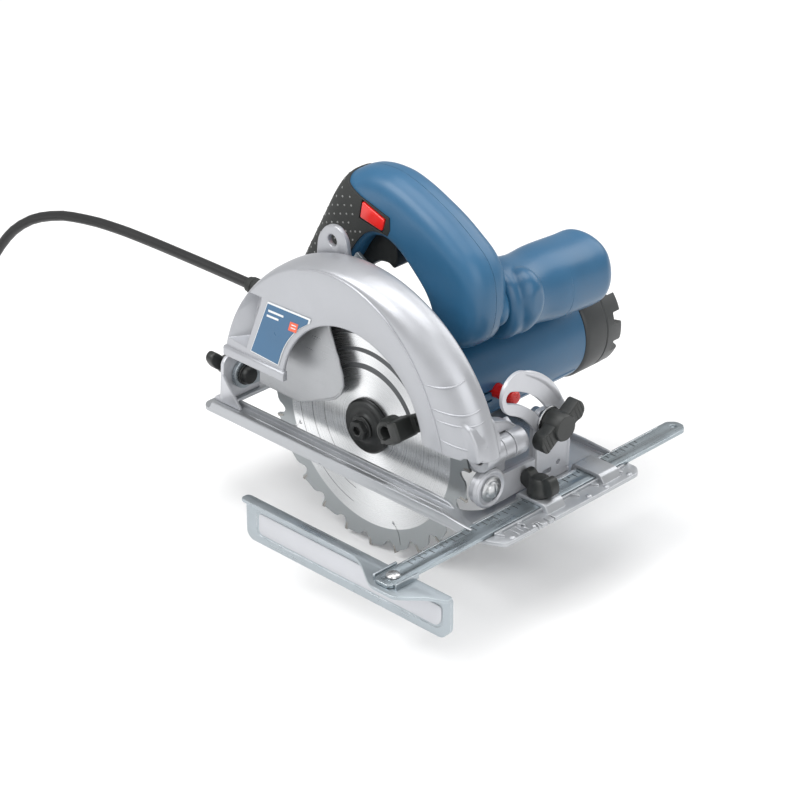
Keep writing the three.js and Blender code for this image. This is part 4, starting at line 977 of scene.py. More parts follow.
def makeGuard():
    shell = skin([guardSlice(-6 + 192 * i / 128) for i in range(129)])
    foot = guard["foot"]
    reach = guard["arch"]
    arch = turned([(0, -28), (reach + 1.4, -28), (reach + 1.4, -25.2), (reach + 0.4, -24.6),
                   (reach, -23.8), (reach, -20), (0, -20)], guard["archMiddle"], "y", 96)
    cut(shell, block(-200, 200, -60, 60, -100, foot), arch)
    # slanted pocket at the rear of the face
    pocketOutline = [(-93, 106), (-77, 106), (-95.5, 59.5), (-117.5, 61.5), (-113, 78), (-104, 93)]
    liner = prism([(-92, 109), (-73, 109), (-93, 56), (-120.5, 58), (-116, 79), (-105, 97)], -23, -13)
    keep(liner, turned([(0, -24), (121, -24), (122.5, -18), (123, -10), (0, -10)], spindle, "y", 128))
    deep = [(-90.5, -16, 99), (-100, -15, 65.5), (-97, -15, 78)]
    bm = bmesh.new()
    for u, v in pocketOutline:
        bm.verts.new((u, -26.5, v))
    for spot in deep:
        bm.verts.new(spot)
    bmesh.ops.convex_hull(bm, input=bm.verts[:])
    bmesh.ops.recalc_face_normals(bm, faces=bm.faces[:])
    pocket = newObject("pocket", bm)
    weld(shell, liner)
    cut(shell, pocket)
    # folded rail along the foot of the face
    rail = prism([(-27.2, foot - 0.2), (-27.2, foot + 5.5), (-26.2, foot + 7), (-23, foot + 7),
                  (-23, foot - 0.2)], -118, -57, "x")
    weld(shell, soften(rail, 0.6))
    leg = prism([(94, foot + 4), (111, depth["pivot"][1] + 1), (120, depth["pivot"][1] + 3), (118.5, 62),
                 (112, 72), (94, 78)], -20.5, 3.6)
    leg = soften(leg, 2.2, 4)
    saddle = prism(roundCorners([(-19, 47), (30, 46), (30.5, 55), (20, 62.5), (4, 68), (-8, 71), (-19, 72)],
                                3),
                   99, 109, "x")
    saddle = soften(saddle, 1.6, 3)
    knuckles = [soften(tube(depth["hole"], guard["knuckle"], y0, y1, depth["pivot"], "y", 56), 0.8, 2, 50)
                for y0, y1 in ((-10, 8), (18, 30))]
    webs = [soften(prism([(100, 40), (104, 36.5), (110, 37), (112, 52), (100, 60)], y0, y1), 1.2, 2)
            for y0, y1 in ((-9, 7.6), (18.4, 29.5))]
    bores = disk(depth["hole"], -30, 34, depth["pivot"], "y", 40)
    lug = tube(0.5, 10.7, 7.9, 18.1, depth["pivot"], "y", 48)
    lugFoot = block(98, 122, 7.9, 18.1, 20, 46)
    weld(shell, leg, saddle, *webs)
    weld(shell, *knuckles)
    cut(shell, bores, lug, lugFoot)
    # clearance for the moving guard and blade inside the legs
    room = tube(1, guard["cavity"], -22.5, 7.5, spindle, "y", 96)
    cut(shell, room)
    finishPiece(shell, "upperGuard", "saw_body", finishes["cast"], ["upper_guard"], 40)


# thin raised lines that follow the shoulder
def makeGuardLines():
    parts = []
    seam = []
    for i in range(60):
        angle = 112 - 98 * i / 59
        r, y = shoulderPoint(angle, 0.03)
        seam.append(aroundSpindle(r, angle, y - 0.02))
    parts.append(rod(seam, lambda t: 0.25 + 0.75 * math.sin(math.pi * min(1, t * 1.02)) ** 0.4, 10))
    for start, lean, reach in ((43, -9, 0.8), (33, -9, 0.86), (28.5, -8, 0.86), (20, -7, 0.8)):
        line = []
        for i in range(22):
            t = i / 21
            angle = start + lean * math.sin(math.pi * t * 0.55) * (1 - 0.35 * t)
            r, y = shoulderPoint(angle, 0.05 + reach * t)
            line.append(aroundSpindle(r - 0.1, angle, y + 0.05))
        parts.append(rod(line, lambda t: 0.2 + 0.65 * math.sin(math.pi * t) ** 0.6, 8))
    finishPiece(together(*parts), "guardLines", "saw_body", finishes["cast"], (), 60)


gearCase = {"back": 9.5, "front": 34.0, "floor": 17.6, "bowl": 38.0, "ribs": (150, 195, 240, 100),
            "screws": (35, 118, 200, 282), "screwCircle": 35.6, "eye": (-36, 153)}


def makeGearCase():
    back, front, inside, wide = gearCase["back"], gearCase["front"], gearCase["floor"], gearCase["bowl"]
    middle = motor["axis"]
    case = turned([(0, back), (23.4, back), (24, back + 1), (24, front - 0.8), (23.2, front), (0, front)],
                  spindle, "y", 72)
    bowl = turned([(0, back), (wide - 4, back), (wide - 1, 14), (wide, 18), (wide, front - 0.6),
                   (wide - 0.6, front), (0, front)], middle, "y", 96)
    weld(case, bowl)
    cut(case, disk(20.6, inside, 36, spindle, "y", 48), disk(9, inside, 36, middle, "y", 32),
        disk(33.4, 24, 36, middle, "y", 64), disk(15, -5, 18, spindle, "y", 48))
    rib = ((33, -1.6), (46, -1.1), (46, 1.1), (33, 1.6))
    weld(case, *[soften(prism(spoke(middle, angle, rib), 9.6, 26), 0.5) for angle in gearCase["ribs"]])
    spot = depthPoint(depth["radius"], -depth["boltAngle"])
    boss = cut(turned([(0, back), (9.4, back), (8, 13), (8, 23), (7.4, 23.7), (0, 23.7)], spot, "y", 40),
               disk(3.1, 14, 40, spot, "y", 24))
    eye = prism(roundCorners([(-52, 132), (-20, 138), (-23, 158), (-31, 165), (-42, 163), (-50, 152)], 5),
                1, 5.2)
    cut(eye, disk(4.2, 0, 6, gearCase["eye"], "y", 40))
    soften(eye, 0.8, 3)
    hub = tube(12.6, 15.6, 4.4, 9.6, spindle, "y", 64)
    pads = [turned([(0, 14), (5.2, 14), (5.2, 33), (4.6, 33.8), (0, 33.8)],
                   around(middle, gearCase["screwCircle"], angle), "y", 28) for angle in gearCase["screws"]]
    weld(case, *pads)
    finishPiece(together(case, boss, eye, hub), "gearCase", "saw_body", finishes["cast"])


label = {"proud": 0.3, "middle": (-67, 80), "inner": 0.955}


def makeLabel():
    face = guard["right"] - label["proud"]
    top = guard["archMiddle"][1] + guard["arch"]
    outline = [(-91, 60), (-63, 58.5)] + arc(guard["archMiddle"], guard["arch"] + 4, 161, 122, 14)
    outline += [(-30, top - 3), (-72, top - 4)]
    foil = soften(prism(outline, face - 0.8, face + 0.2), 0.25, 2)
    finishPiece(foil, "labelBorder", "saw_body", finishes["white"], ["guard_plate"])
    middle = Vector(label["middle"])
    smaller = [tuple(middle + (Vector(p) - middle) * label["inner"]) for p in outline]
    field = prism(smaller, face - 0.95, face - 0.7)
    finishPiece(field, "labelField", "saw_body", finishes["label"])
    patch = prism([(-49.5, 97.2), (-41.5, 97.6), (-44.0, 90.2), (-52.0, 89.8)], face - 1.05, face - 0.9)
    stripes = [prism([(-48.2 + k, 95.6 - 2.4 * n), (-43.6 + k, 95.8 - 2.4 * n), (-43.9 + k, 94.9 - 2.4 * n),
                      (-48.5 + k, 94.7 - 2.4 * n)], face - 1.12, face - 1.0)
               for n, k in enumerate((0, -0.7))]
    finishPiece(patch, "labelPatch", "saw_body", finishes["orange"])
    bars = [prism([(-71 - 1.6 * k, 99.0 - 4.2 * k), (-56 - 5 * k, 99.3 - 4.2 * k),
                   (-56.4 - 5 * k, 97.6 - 4.2 * k), (-71.5 - 1.6 * k, 97.3 - 4.2 * k)], face - 1.05,
                  face - 0.9) for k in range(2)]
    finishPiece(together(*bars, *stripes), "labelBars", "saw_body", finishes["white"])


makeGuard()
makeGuardLines()
makeGearCase()
makeLabel()
print("guard made")


lowerGuard = {"rim": 100.0, "wall": 2.0, "start": 20, "stop": 180, "right": -9.5, "left": 6.2, "sheet": 1.5}


def makeLowerGuard():
    rim, start, stop = lowerGuard["rim"], lowerGuard["start"], lowerGuard["stop"]
    right, left, sheet = lowerGuard["right"], lowerGuard["left"], lowerGuard["sheet"]
    base = spindle

    def sector(r, a, b, steps):
        return arc(base, r, a, b, steps)

    band = prism(sector(rim, start, stop, 90) + sector(rim - lowerGuard["wall"], start, stop, 90)[::-1],
                 right, left)
    inner = prism(sector(rim - 0.5, start, stop, 90) + [(-24, base[1] - 4)] + sector(24, 190, 380, 30)
                  + [(26, base[1] + 8)], left - sheet, left)
    cheek = sector(rim - 0.5, 61, stop, 60) + [(-62, base[1] - 1)] \
        + [(-33, base[1] + 11), (-24, base[1] + 15.5), (-18.6, base[1] + 21), (-16.2, base[1] + 27.5),
           (-17.2, base[1] + 35), (-21, base[1] + 46), (-26, base[1] + 58), (-29.5, base[1] + 68),
           (-29.5, base[1] + 76), (-24, base[1] + 82), (-12, base[1] + 85.5), (20, base[1] + 88)]
    outer = prism(roundCorners(cheek, 1.2, 2), right, right + sheet)
    bridge = prism(sector(rim - 0.5, start, 40, 16) + sector(66, start, 40, 12)[::-1], right, right + sheet)
    weld(band, inner, outer, bridge)
    # rolled lip along the scooped edge of the outer cheek
    lip = [Vector((u, right + 0.3, v)) for u, v in cheek[61:-1]]
    edge = rod(lip, lambda t: 0.35 + 0.75 * math.sin(math.pi * t) ** 0.3, 10)
    cut(band, disk(15.9, 3, 8, base, "y", 64))
    band = together(soften(band, 0.4, 2, 40), edge)
    finishPiece(band, "lowerGuard", "lower_guard", finishes["sheet"], ["lower_guard"])


lever = {"middle": (45.5, 25), "front": -28.6, "back": -10.0, "steps": (64, 71.5, 79), "screw": 4.4}


def makeGuardLever():
    front, back, hole = lever["front"], lever["back"], lever["screw"]

    def at(r, a):
        return around(spindle, r, a)

    arm = prism([at(44, 17), at(60, 19.5), at(92.6, 23.4), at(92.6, 31), at(60, 32), at(44, 33)], -14, -9.9)
    steps = [prism([at(r, 24.4), at(r + 4.4, 24.6), at(r + 4.4, 29.6), at(r, 29.8)], -15, -12.6)
             for r in lever["steps"]]
    soften(arm, 0.8, 2)
    cut(arm, *steps)
    thumb = soften(prism([at(51.5, 17), at(60.5, 19), at(60.5, 32), at(51.5, 33)], front, back), 1.4, 3)
    middle = at(*lever["middle"])
    knob = turned([(hole, -14), (8.2, -14), (9.6, -15.5), (10, -19), (9.6, -23.5), (8.2, -26.5), (6.4, -27.3),
                   (5.0, -26.3), (hole, -23)], middle, "y", 48)
    shelf = soften(prism([at(40.5, 15.5), at(59, 18), at(59, 22), at(40.5, 20.5)], front, back), 0.9, 2)
    pad = soften(prism([at(41, 16), at(59, 18.2), at(60, 32), at(42, 34)], -17, back), 1.2, 2)
    body = weld(arm, thumb, knob, shelf, pad)
    cut(body, disk(hole, -30, -14.5, middle, "y", 32))
    screw = turned([(0, -19.5), (3.2, -19.5), (3.6, -18.8), (3.6, -14), (0, -14)], middle, "y", 32)
    finishPiece(body, "guardLever", "lower_guard", finishes["black"], ["guard_lever"])
    cut(screw, prism(hexagon(middle, 1.7, 0), -20, -17.8))
    finishPiece(screw, "guardLeverScrew", "lower_guard", finishes["steel"])


makeLowerGuard()
makeGuardLever()
print("moving guard made")

plate = {"rear": -139, "front": 149, "right": -31.5, "left": 115.5, "top": 3.0}
bar = {"rear": 119, "front": 135.4, "middle": 127.2, "bottom": 3.3, "top": 6.0, "near": -117.7, "far": 180.3}
bridgeTop = 8.8


def makePlate():
    top = plate["top"]
    outer = [(plate["rear"] + 5, plate["right"]), (133, plate["right"]), (plate["front"], -23.5),
             (plate["front"], plate["left"] - 6), (plate["front"] - 6, plate["left"]),
             (plate["rear"] + 6, plate["left"]), (plate["rear"], plate["left"] - 6),
             (plate["rear"], plate["right"] + 5)]
    window = [(-125, -11.5), (98, -11.5), (108, -1.5), (108, 30), (102, 36), (-125, 36)]
    sheetBody = prism(roundCorners(outer, 3), 0, top, "z", [roundCorners(window, 6)])
    soften(sheetBody, 0.5, 2, 40)
    # turned-up edges, tapering away at their ends
    lipTop = top + 5.9
    right = prism([(-131, top - 1), (131, top - 1), (124, top + 3.6), (100, lipTop), (-127, lipTop)],
                  plate["right"], plate["right"] + 2.4, "y")
    left = prism([(-131, top - 1), (140, top - 1), (128, top + 3.0), (96, top + 4.5), (-128, top + 4.5)],
                 plate["left"] - 2.4, plate["left"], "y")
    inner = prism([(-121, top - 1), (96, top - 1), (88, top + 2.6), (70, top + 3.4), (-118, top + 3.4)],
                  -14, -11.5, "y")
    for lip in (right, left, inner):
        soften(lip, 0.7, 3)
    # rolled ribs pressed along the right strip
    ribs = []
    for y, x0, x1, height in ((-25.6, -118, 112, 1.1), (-19.0, -118, 104, 0.9)):
        line = [Vector((x0 + (x1 - x0) * i / 24, y, top - 0.5)) for i in range(25)]
        ribs.append(rod(line, lambda t, h=height: 0.15 + h * min(1, 8 * t, 8 * (1 - t)), 12))
    channel = [prism([(x0, top - 1), (x1, top - 1), (x1, bar["top"] - 0.6), (x0, bar["top"] - 0.6)],
                     plate["right"] + 10, plate["left"] - 7, "y")
               for x0, x1 in ((bar["rear"] - 2.3, bar["rear"] - 0.3),
                              (bar["front"] + 0.3, bar["front"] + 2.3))]
    for rail in channel:
        soften(rail, 0.5, 2)
    nubs = []
    for y in (-18, 2, 56, 76, 101):
        nubs.append(soften(prism([(bar["front"] + 2, y - 3), (bar["front"] + 7.5, y),
                                  (bar["front"] + 2, y + 3)],
                                 top - 0.5, top + 1.7, "z"), 0.5))
    for y in (-14, 8, 62, 80, 104):
        nubs.append(turned([(0, top - 0.5), (2.3, top - 0.5), (2.0, top + 0.5), (1.0, top + 0.9),
                            (0, top + 1.0)],
                           (bar["front"] + 10.4, y), "z", 20))
    bridges = []
    for y, width in ((33, 9), (89.5, 9)):
        strap = prism([(bar["rear"] - 6.2, top - 0.6), (bar["rear"] - 4.6, bridgeTop - 1.2),
                       (bar["rear"] - 2.6, bridgeTop), (bar["front"] + 2.6, bridgeTop),
                       (bar["front"] + 4.8, bridgeTop - 1.2), (bar["front"] + 8.2, top - 0.6)],
                      y - width, y + width, "y")
        bridges.append(soften(strap, 0.7, 3, 25))
    path = block(bar["rear"] - 0.3, bar["front"] + 0.3, plate["right"] - 5, plate["left"] + 5, top,
                 bar["top"] + 0.3)
    weld(sheetBody, right, left, inner, *channel)
    weld(sheetBody, *nubs, *bridges)
    notches = [block(143.5, 150, y - w, y + w, -1, 5) for y, w in ((8, 1.0), (11, 1.1), (18, 1.1), (24, 0.8))]
    slits = [block(138.5, 146.5, y - 0.45, y + 0.45, 2.6, 4) for y in (-8, -3.5, 1.0)]
    cut(sheetBody, path, disk(3.3, 5, 12, (bar["middle"], 33), "z", 28), *notches, *slits)
    finishPiece(sheetBody, "basePlate", "base", finishes["base"], ["base_plate"])
    finishPiece(together(*ribs), "plateRibs", "base", finishes["base"])


def makeGuide():
    near, far = bar["near"], bar["far"]
    outline = [(bar["rear"], near + 3), (bar["rear"] + 3, near), (bar["front"] - 3, near),
               (bar["front"], near + 3),
               (bar["front"], far - 5), (bar["front"] - 5, far), (bar["rear"] + 5, far),
               (bar["rear"], far - 5)]
    strip = prism(roundCorners(outline, 2), bar["bottom"], bar["top"], "z",
                  [arc((bar["middle"], far - 7), 2.2, 0, 348, 29),
                   arc((bar["middle"], near + 11), 2.8, 0, 348, 29)])
    soften(strip, 0.35, 2, 40)
    cut(strip, block(bar["rear"] + 1.1, bar["rear"] + 1.6, near + 26, far - 16, bar["top"] - 0.25,
                     bar["top"] + 1))
    finishPiece(strip, "guideBar", "guide", finishes["zincAcross"], ["guide_bar"])
    ticks = repeat("ticks", [(0, 0, 0)], None, finishes["gray"], Count=46, Step=5.0, Width=0.55,
                   Short=2.8, Long=5.2, Long_Every=2, Depth=0.16)
    ticks.data.transform(Matrix.Translation(Vector((bar["rear"] + 2.4, near + 30, bar["top"] + 0.06))))
    finishPiece(ticks, "guideTicks", "guide", finishes["gray"])
    fenceTop, sheet = bar["bottom"] - 0.3, 2.5
    rear, front, plane = -20.2, 169.8, -95.4
    wall = prism(roundCorners([(rear + 4, fenceTop - 33), (front - 8, fenceTop - 33), (front, fenceTop - 25),
                               (front, fenceTop - 0.8), (rear, fenceTop - 0.8), (rear, fenceTop - 29)], 3),
                 plane - sheet, plane, "y")
    flangePlan = [(rear, plane), (rear, plane - 8), (bar["rear"] - 30, plane - 8),
                  (bar["rear"] - 20, plane - 12),
                  (bar["rear"] - 6, -117), (bar["rear"] + 2, -121.7), (bar["front"] + 6, -121.7),
                  (bar["front"] + 12, -117), (bar["front"] + 22, plane - 12), (bar["front"] + 32, plane - 7),
                  (front, plane - 6), (front, plane)]
    flange = prism(roundCorners(flangePlan, 4), fenceTop - sheet, fenceTop, "z")
    body = weld(soften(wall, 0.5, 2), soften(flange, 0.5, 2))
    cut(body, disk(2.8, fenceTop - 6, fenceTop + 5, (bar["middle"], near + 11), "z", 28))
    pressed = [(rear + 10, fenceTop - 27), (front - 12, fenceTop - 27), (front - 7, fenceTop - 22),
               (front - 7, fenceTop - 8), (rear + 10, fenceTop - 8)]
    cut(body, soften(prism(roundCorners(pressed, 4), plane - sheet - 3, plane - sheet + 0.5, "y"), 0.4, 2,
                     60))
    finishPiece(body, "guideFence", "guide", finishes["zinc"], ["guide_fence"])
    # pale panel in the pressing of the upright face: painted highlight, the lit face drawn lighter than the
    # zinc sheet of the fence
    inset = prism(roundCorners([(rear + 12, fenceTop - 25.5), (front - 13, fenceTop - 25.5),
                                (front - 8.5, fenceTop - 21),
                                (front - 8.5, fenceTop - 9.5), (rear + 12, fenceTop - 9.5)], 3.4),
                  plane - sheet + 0.2, plane - sheet + 0.75, "y")
    finishPiece(soften(inset, 0.2, 2, 60), "fencePanel", "guide", finishes["castWhite"])
    # bracket of bright sheet folded over the end of the bar
    clip = weld(block(bar["rear"] - 2.4, bar["rear"] - 0.6, near + 3, near + 24, fenceTop - 0.2,
                      bar["top"] + 1.0),
                block(bar["front"] + 0.6, bar["front"] + 2.4, near + 3, near + 24, fenceTop - 0.2,
                      bar["top"] + 1.0))
    finishPiece(soften(clip, 0.5, 2), "fenceClip", "guide", finishes["zinc"])
    z = fenceTop - sheet - 0.3
    bolt = turned([(0, z - 3), (4.2, z - 3), (4.6, z - 2.6), (4.6, z), (2.5, z), (2.5, bar["top"] + 0.3),
                   (5, bar["top"] + 0.3), (4.9, bar["top"] + 0.9), (4.1, bar["top"] + 1.8),
                   (2.4, bar["top"] + 2.35), (0, bar["top"] + 2.5)], (bar["middle"], near + 11), "z", 40)
    finishPiece(bolt, "guideBolt", "guide", finishes["steel"], ["guide_bolt"])


def makeThumbScrew():
    x, y, low = bar["middle"], 33, bar["top"] + 0.3
    top = bridgeTop + 0.3
    stem = turned([(0, low), (3, low), (3, top), (8.4, top), (8.8, top + 0.5), (8.6, top + 3), (7.6, top + 6),
                   (7.2, top + 11), (6, top + 13), (0, top + 13.3)], (x, y), "z", 48)
    wings = []
    for side in (1, -1):
        lobe = smoothLoop([(x + side * 2, top + 1.2), (x + side * 9, top + 2.0), (x + side * 13.8, top + 4.5),
                           (x + side * 14.4, top + 10), (x + side * 11.8, top + 15.2),
                           (x + side * 7.5, top + 15.6),
                           (x + side * 3.5, top + 12), (x, top + 11), (x, top + 2)], 6)
        wings.append(soften(prism(lobe, y - 3.9, y + 3.9, "y"), 1.7, 4, 40))
    weld(stem, *wings)
    finishPiece(melt(stem, 0.6, 8), "guideThumbScrew", "guide_screw", finishes["black"],
                ["guide_thumb_screw"], 60)


makePlate()
makeGuide()
makeThumbScrew()
print("plate and guide made")

tilt = {"axis": (0, 20.5), "slot": 63.5, "slotHalf": 4.5, "rest": 28, "swing": 44, "front": 112.6,
        "back": 109.6, "hole": 4.3}


def tiltPoint(radius, angle):
    return around(tilt["axis"], radius, angle)


clampSpot = tiltPoint(tilt["slot"], tilt["rest"])


def makeQuadrant():
    front, back = tilt["front"], tilt["back"]
    inner, outer, end = tilt["slot"] - 12.5, tilt["slot"] + 18.5, tilt["rest"] + tilt["swing"] - 5
    middle, half = (inner + outer) / 2, (outer - inner) / 2
    tip = tiltPoint(middle, end)
    rim = arc(tilt["axis"], outer, 22, end, 30)
    rim += [around(tip, half, end + 9 * i) for i in range(1, 20)]
    rim += arc(tilt["axis"], inner, end, 34, 22)
    rim += [(45, 47), (45, 22), (79, 22)]
    first, last = tilt["rest"] - 1, tilt["rest"] + tilt["swing"] + 1
    wide = tilt["slotHalf"]
    slot = arc(tilt["axis"], tilt["slot"] + wide, first, last, 24)
    slot += [around(tiltPoint(tilt["slot"], last), wide, last + 20 * i) for i in range(1, 9)]
    slot += arc(tilt["axis"], tilt["slot"] - wide, last, first, 24)
    slot += [around(tiltPoint(tilt["slot"], first), wide, first + 180 + 20 * i) for i in range(1, 9)]
    ringBody = prism(rim, back, front, "x")
    post = prism(roundCorners([(45, 3.4), (77, 3.4), (79, 26), (76, 52), (71, 56), (46, 47)], 3),
                 back, front, "x")
    beam = prism([(0, 7), (46, 6.4), (46, 25), (0, 27)], back, front, "x")
    ear = disk(14, back, front, tilt["axis"], "x", 64)
    foot = block(98, front, 44, 79, 3.3, 5.8)
    body = weld(ringBody, post, beam, ear, foot)
    cut(body, prism(slot, back - 1, front + 1, "x"),
        disk(tilt["hole"], back - 1, front + 1, tilt["axis"], "x", 40),
        disk(2.4, back - 1, front + 1, (51, 34), "x", 28), disk(2.0, back - 1, front + 1, (68, 14), "x", 24),
        prism(roundCorners([(52, 9), (61, 9), (61, 13), (52, 13)], 1.5), back - 1, front + 1, "x"))
    soften(body, 0.7, 3, 40)
    # rolled rims that give the ring its crowned section
    rimLine = [Vector((front - 0.6, u, v)) for u, v in rim[4:31]]
    bead = rod([p.lerp(Vector((front - 0.6, tip[0], tip[1])), 0.055) for p in rimLine],
               lambda t: 0.6 + 2.0 * math.sin(math.pi * t) ** 0.35, 16)
    earBead = turned([(10.4, front - 0.4), (13.6, front - 0.4), (13.2, front + 1.0), (12.2, front + 1.5),
                      (11.2, front + 1.0)], tilt["axis"], "x", 64)
    edges = [rod([Vector((front - 0.2, u, v)) for u, v in line], 1.3, 12)
             for line in (((45.8, 9), (45.8, 24), (45.8, 44)), ((77, 8), (78, 26), (76, 44)))]
    body = together(body, bead, earBead, *edges)
    # flat seat for the clamp washer at the end of the swing
    cut(body, tube(1, 11.6, front + 0.05, front + 4, tiltPoint(tilt["slot"], last - 1), "x", 56))
    finishPiece(body, "bevelQuadrant", "base", finishes["castWhite"], ["bevel_quadrant"])
    for i, spot in enumerate(((103.6, 52), (103.6, 70))):
        z = 6.1
        rivet = turned([(0, z), (4, z), (3.9, z + 0.5), (3.1, z + 1.5), (1.6, z + 2.0), (0, z + 2.1)],
                       spot, "z", 32)
        finishPiece(rivet, "bracketRivet%d" % (i + 1), "base", finishes["steel"],
                    ["bracket_rivet_%d" % (i + 1)])


yoke = {"back": 105.1, "front": 109.3, "lug": 9.5, "lugFrom": 8.5, "lugTo": 17.5, "stud": 3.0,
        "studHole": 3.3}


def makeYoke():
    back, front, pivot = yoke["back"], yoke["front"], depth["pivot"]
    lugFrom, lugTo, gap = yoke["lugFrom"], yoke["lugTo"], 0.3
    face = weld(disk(13, back, front, tilt["axis"], "x", 48),
                prism(roundCorners([(0, 9), (62, 9), (64, 14), (64, 52), (60, 57.3), (52, 57.3), (47, 50),
                                    (46, 24),
                                    (0, 24)], 2), back, front, "x"),
                block(104, front, lugFrom, lugTo, 15, 46), disk(yoke["lug"], lugFrom, lugTo, pivot, "y", 48))
    cut(face, disk(depth["hole"], 7, 19, pivot, "y", 32),
        disk(tilt["hole"], back - 1, front + 1, tilt["axis"], "x", 32),
        disk(yoke["studHole"], back - 1, front + 1, clampSpot, "x", 24))
    finishPiece(soften(face, 0.6, 2, 40), "frontYoke", "tilt_frame", finishes["cast"],
                ["front_yoke"])
    x = tilt["front"]
    head = turned([(0, back - 5), (6, back - 5), (6, back - gap), (4, back - gap), (4, x + gap), (9, x + gap),
                   (9, x + 1.4), (8.6, x + 1.7), (6.4, x + 1.8), (6.2, x + 2.6), (5.2, x + 3.9),
                   (3.2, x + 4.5),
                   (0, x + 4.7)], tilt["axis"], "x", 56)
    cut(head, block(x + 3.4, x + 8, -0.7, 0.7, tilt["axis"][1] - 8, tilt["axis"][1] + 8))
    finishPiece(head, "frontBevelBolt", "tilt_frame", finishes["steel"], ["front_bevel_bolt"])
    thick = yoke["stud"]
    stud = turned([(0, back - 5), (6, back - 5), (6, back - gap), (thick, back - gap), (thick, x + 10.4),
                   (thick - 0.4, x + 11), (0, x + 11)], clampSpot, "x", 32)
    finishPiece(stud, "clampStud", "tilt_frame", finishes["steel"], ["bevel_clamp_stud"])
    washer = turned([(3.3, x + gap), (10.8, x + gap), (11, x + 0.6), (11, x + 1.5), (10.7, x + 1.8),
                     (3.3, x + 1.8)], clampSpot, "x", 56)
    finishPiece(washer, "clampWasher", "tilt_frame", finishes["steel"],
                ["bevel_clamp_washer"])
    pin = turned([(0, -11.5), (3.3, -11.5), (4, -10.8), (4, 31), (3.3, 31.8), (0, 31.8)], pivot, "y", 40)
    cut(pin, disk(2.6, -12, -10.4, pivot, "y", 32))
    finishPiece(pin, "depthPivotPin", "tilt_frame", finishes["blackened"],
                ["depth_pivot_pin"])


wingNut = {"lean": 25.68, "grooves": (13.5, 16.4, 19.3), "front": 14.6, "rearFace": -136.3}


def makeWingNuts():
    x = tilt["front"]
    hub = turned([(3.3, x + 2.1), (9, x + 2.1), (9.6, x + 3), (9.6, x + 15.6), (8.8, x + 16.8), (0, x + 17),
                  (0, x + 11.5), (3.3, x + 11.5)], clampSpot, "x", 64)
    lobe = ((4, -6), (12, -6.6), (17, -7.4), (21.6, -4), (22.2, 2), (19.8, 6.4), (15, 6.2), (9, 5.4), (4, 6))
    wings, grooves = [], []
    for turn in (wingNut["lean"], wingNut["lean"] + 180):
        wings.append(soften(prism(smoothLoop(spoke(clampSpot, turn, lobe), 5), x + 4.6, x + 14.4, "x"),
                            1.8, 4, 40))
        for reach in wingNut["grooves"]:
            line = spoke(clampSpot, turn, ((reach, -9), (reach, 0), (reach, 9)))
            grooves.append(rod([Vector((x + wingNut["front"], u, v)) for u, v in line], 0.75, 10))
    weld(hub, *wings)
    cut(hub, *grooves)
    finishPiece(hub, "bevelWingNut", "bevel_nut", finishes["black"], ["bevel_wing_nut"], 50)
    back = wingNut["rearFace"]
    nut = turned([(0, back - 12), (6.4, back - 12), (7, back - 11.4), (8, back - 0.6), (7.6, back),
                  (0, back)],
                 tilt["axis"], "x", 48)
    wing = smoothLoop([(-4, -4), (-15, 4), (-19, 12), (-14, 16), (-4, 8), (4, 4), (15, -4), (19, -12),
                       (14, -16),
                       (4, -8)], 6)
    wing = soften(prism([(u, v + tilt["axis"][1]) for u, v in wing], back - 10.5, back - 3.5, "x"), 1.4, 3,
                  40)
    finishPiece(weld(nut, wing), "rearWingNut", "rear_nut", finishes["black"],
                ["rear_wing_nut"], 50)


rear = {"face": -128, "gap": 0.3, "arcHalf": 7, "slotHalf": 3.4, "low": -13, "spare": 1.5}


def makeRearBracket():
    x = rear["face"]
    body = prism(roundCorners([(-20, 3.3), (16, 3.3), (12, 28), (6, 33), (-6, 35), (-14, 38), (-18, 34)], 2),
                 x - 3, x, "x")
    foot = block(x - 8, x, -20, 16, 3.3, 5.8)
    gusset = prism([(x - 0.5, 3.4), (x + 18, 3.4), (x - 0.5, 26)], -20, -17.6, "y")
    body = weld(body, foot, gusset)
    cut(body, disk(tilt["hole"], x - 4, x + 1, tilt["axis"], "x", 40))
    soften(body, 0.6, 2, 40)
    ringBead = turned([(7.5, x - 3.2), (10.5, x - 3.2), (10.5, x - 3.6), (9, x - 4.2), (7.5, x - 3.6)],
                      tilt["axis"], "x", 48)
    finishPiece(together(body, ringBead), "rearBracket", "base", finishes["castWhite"],
                ["rear_bracket"])


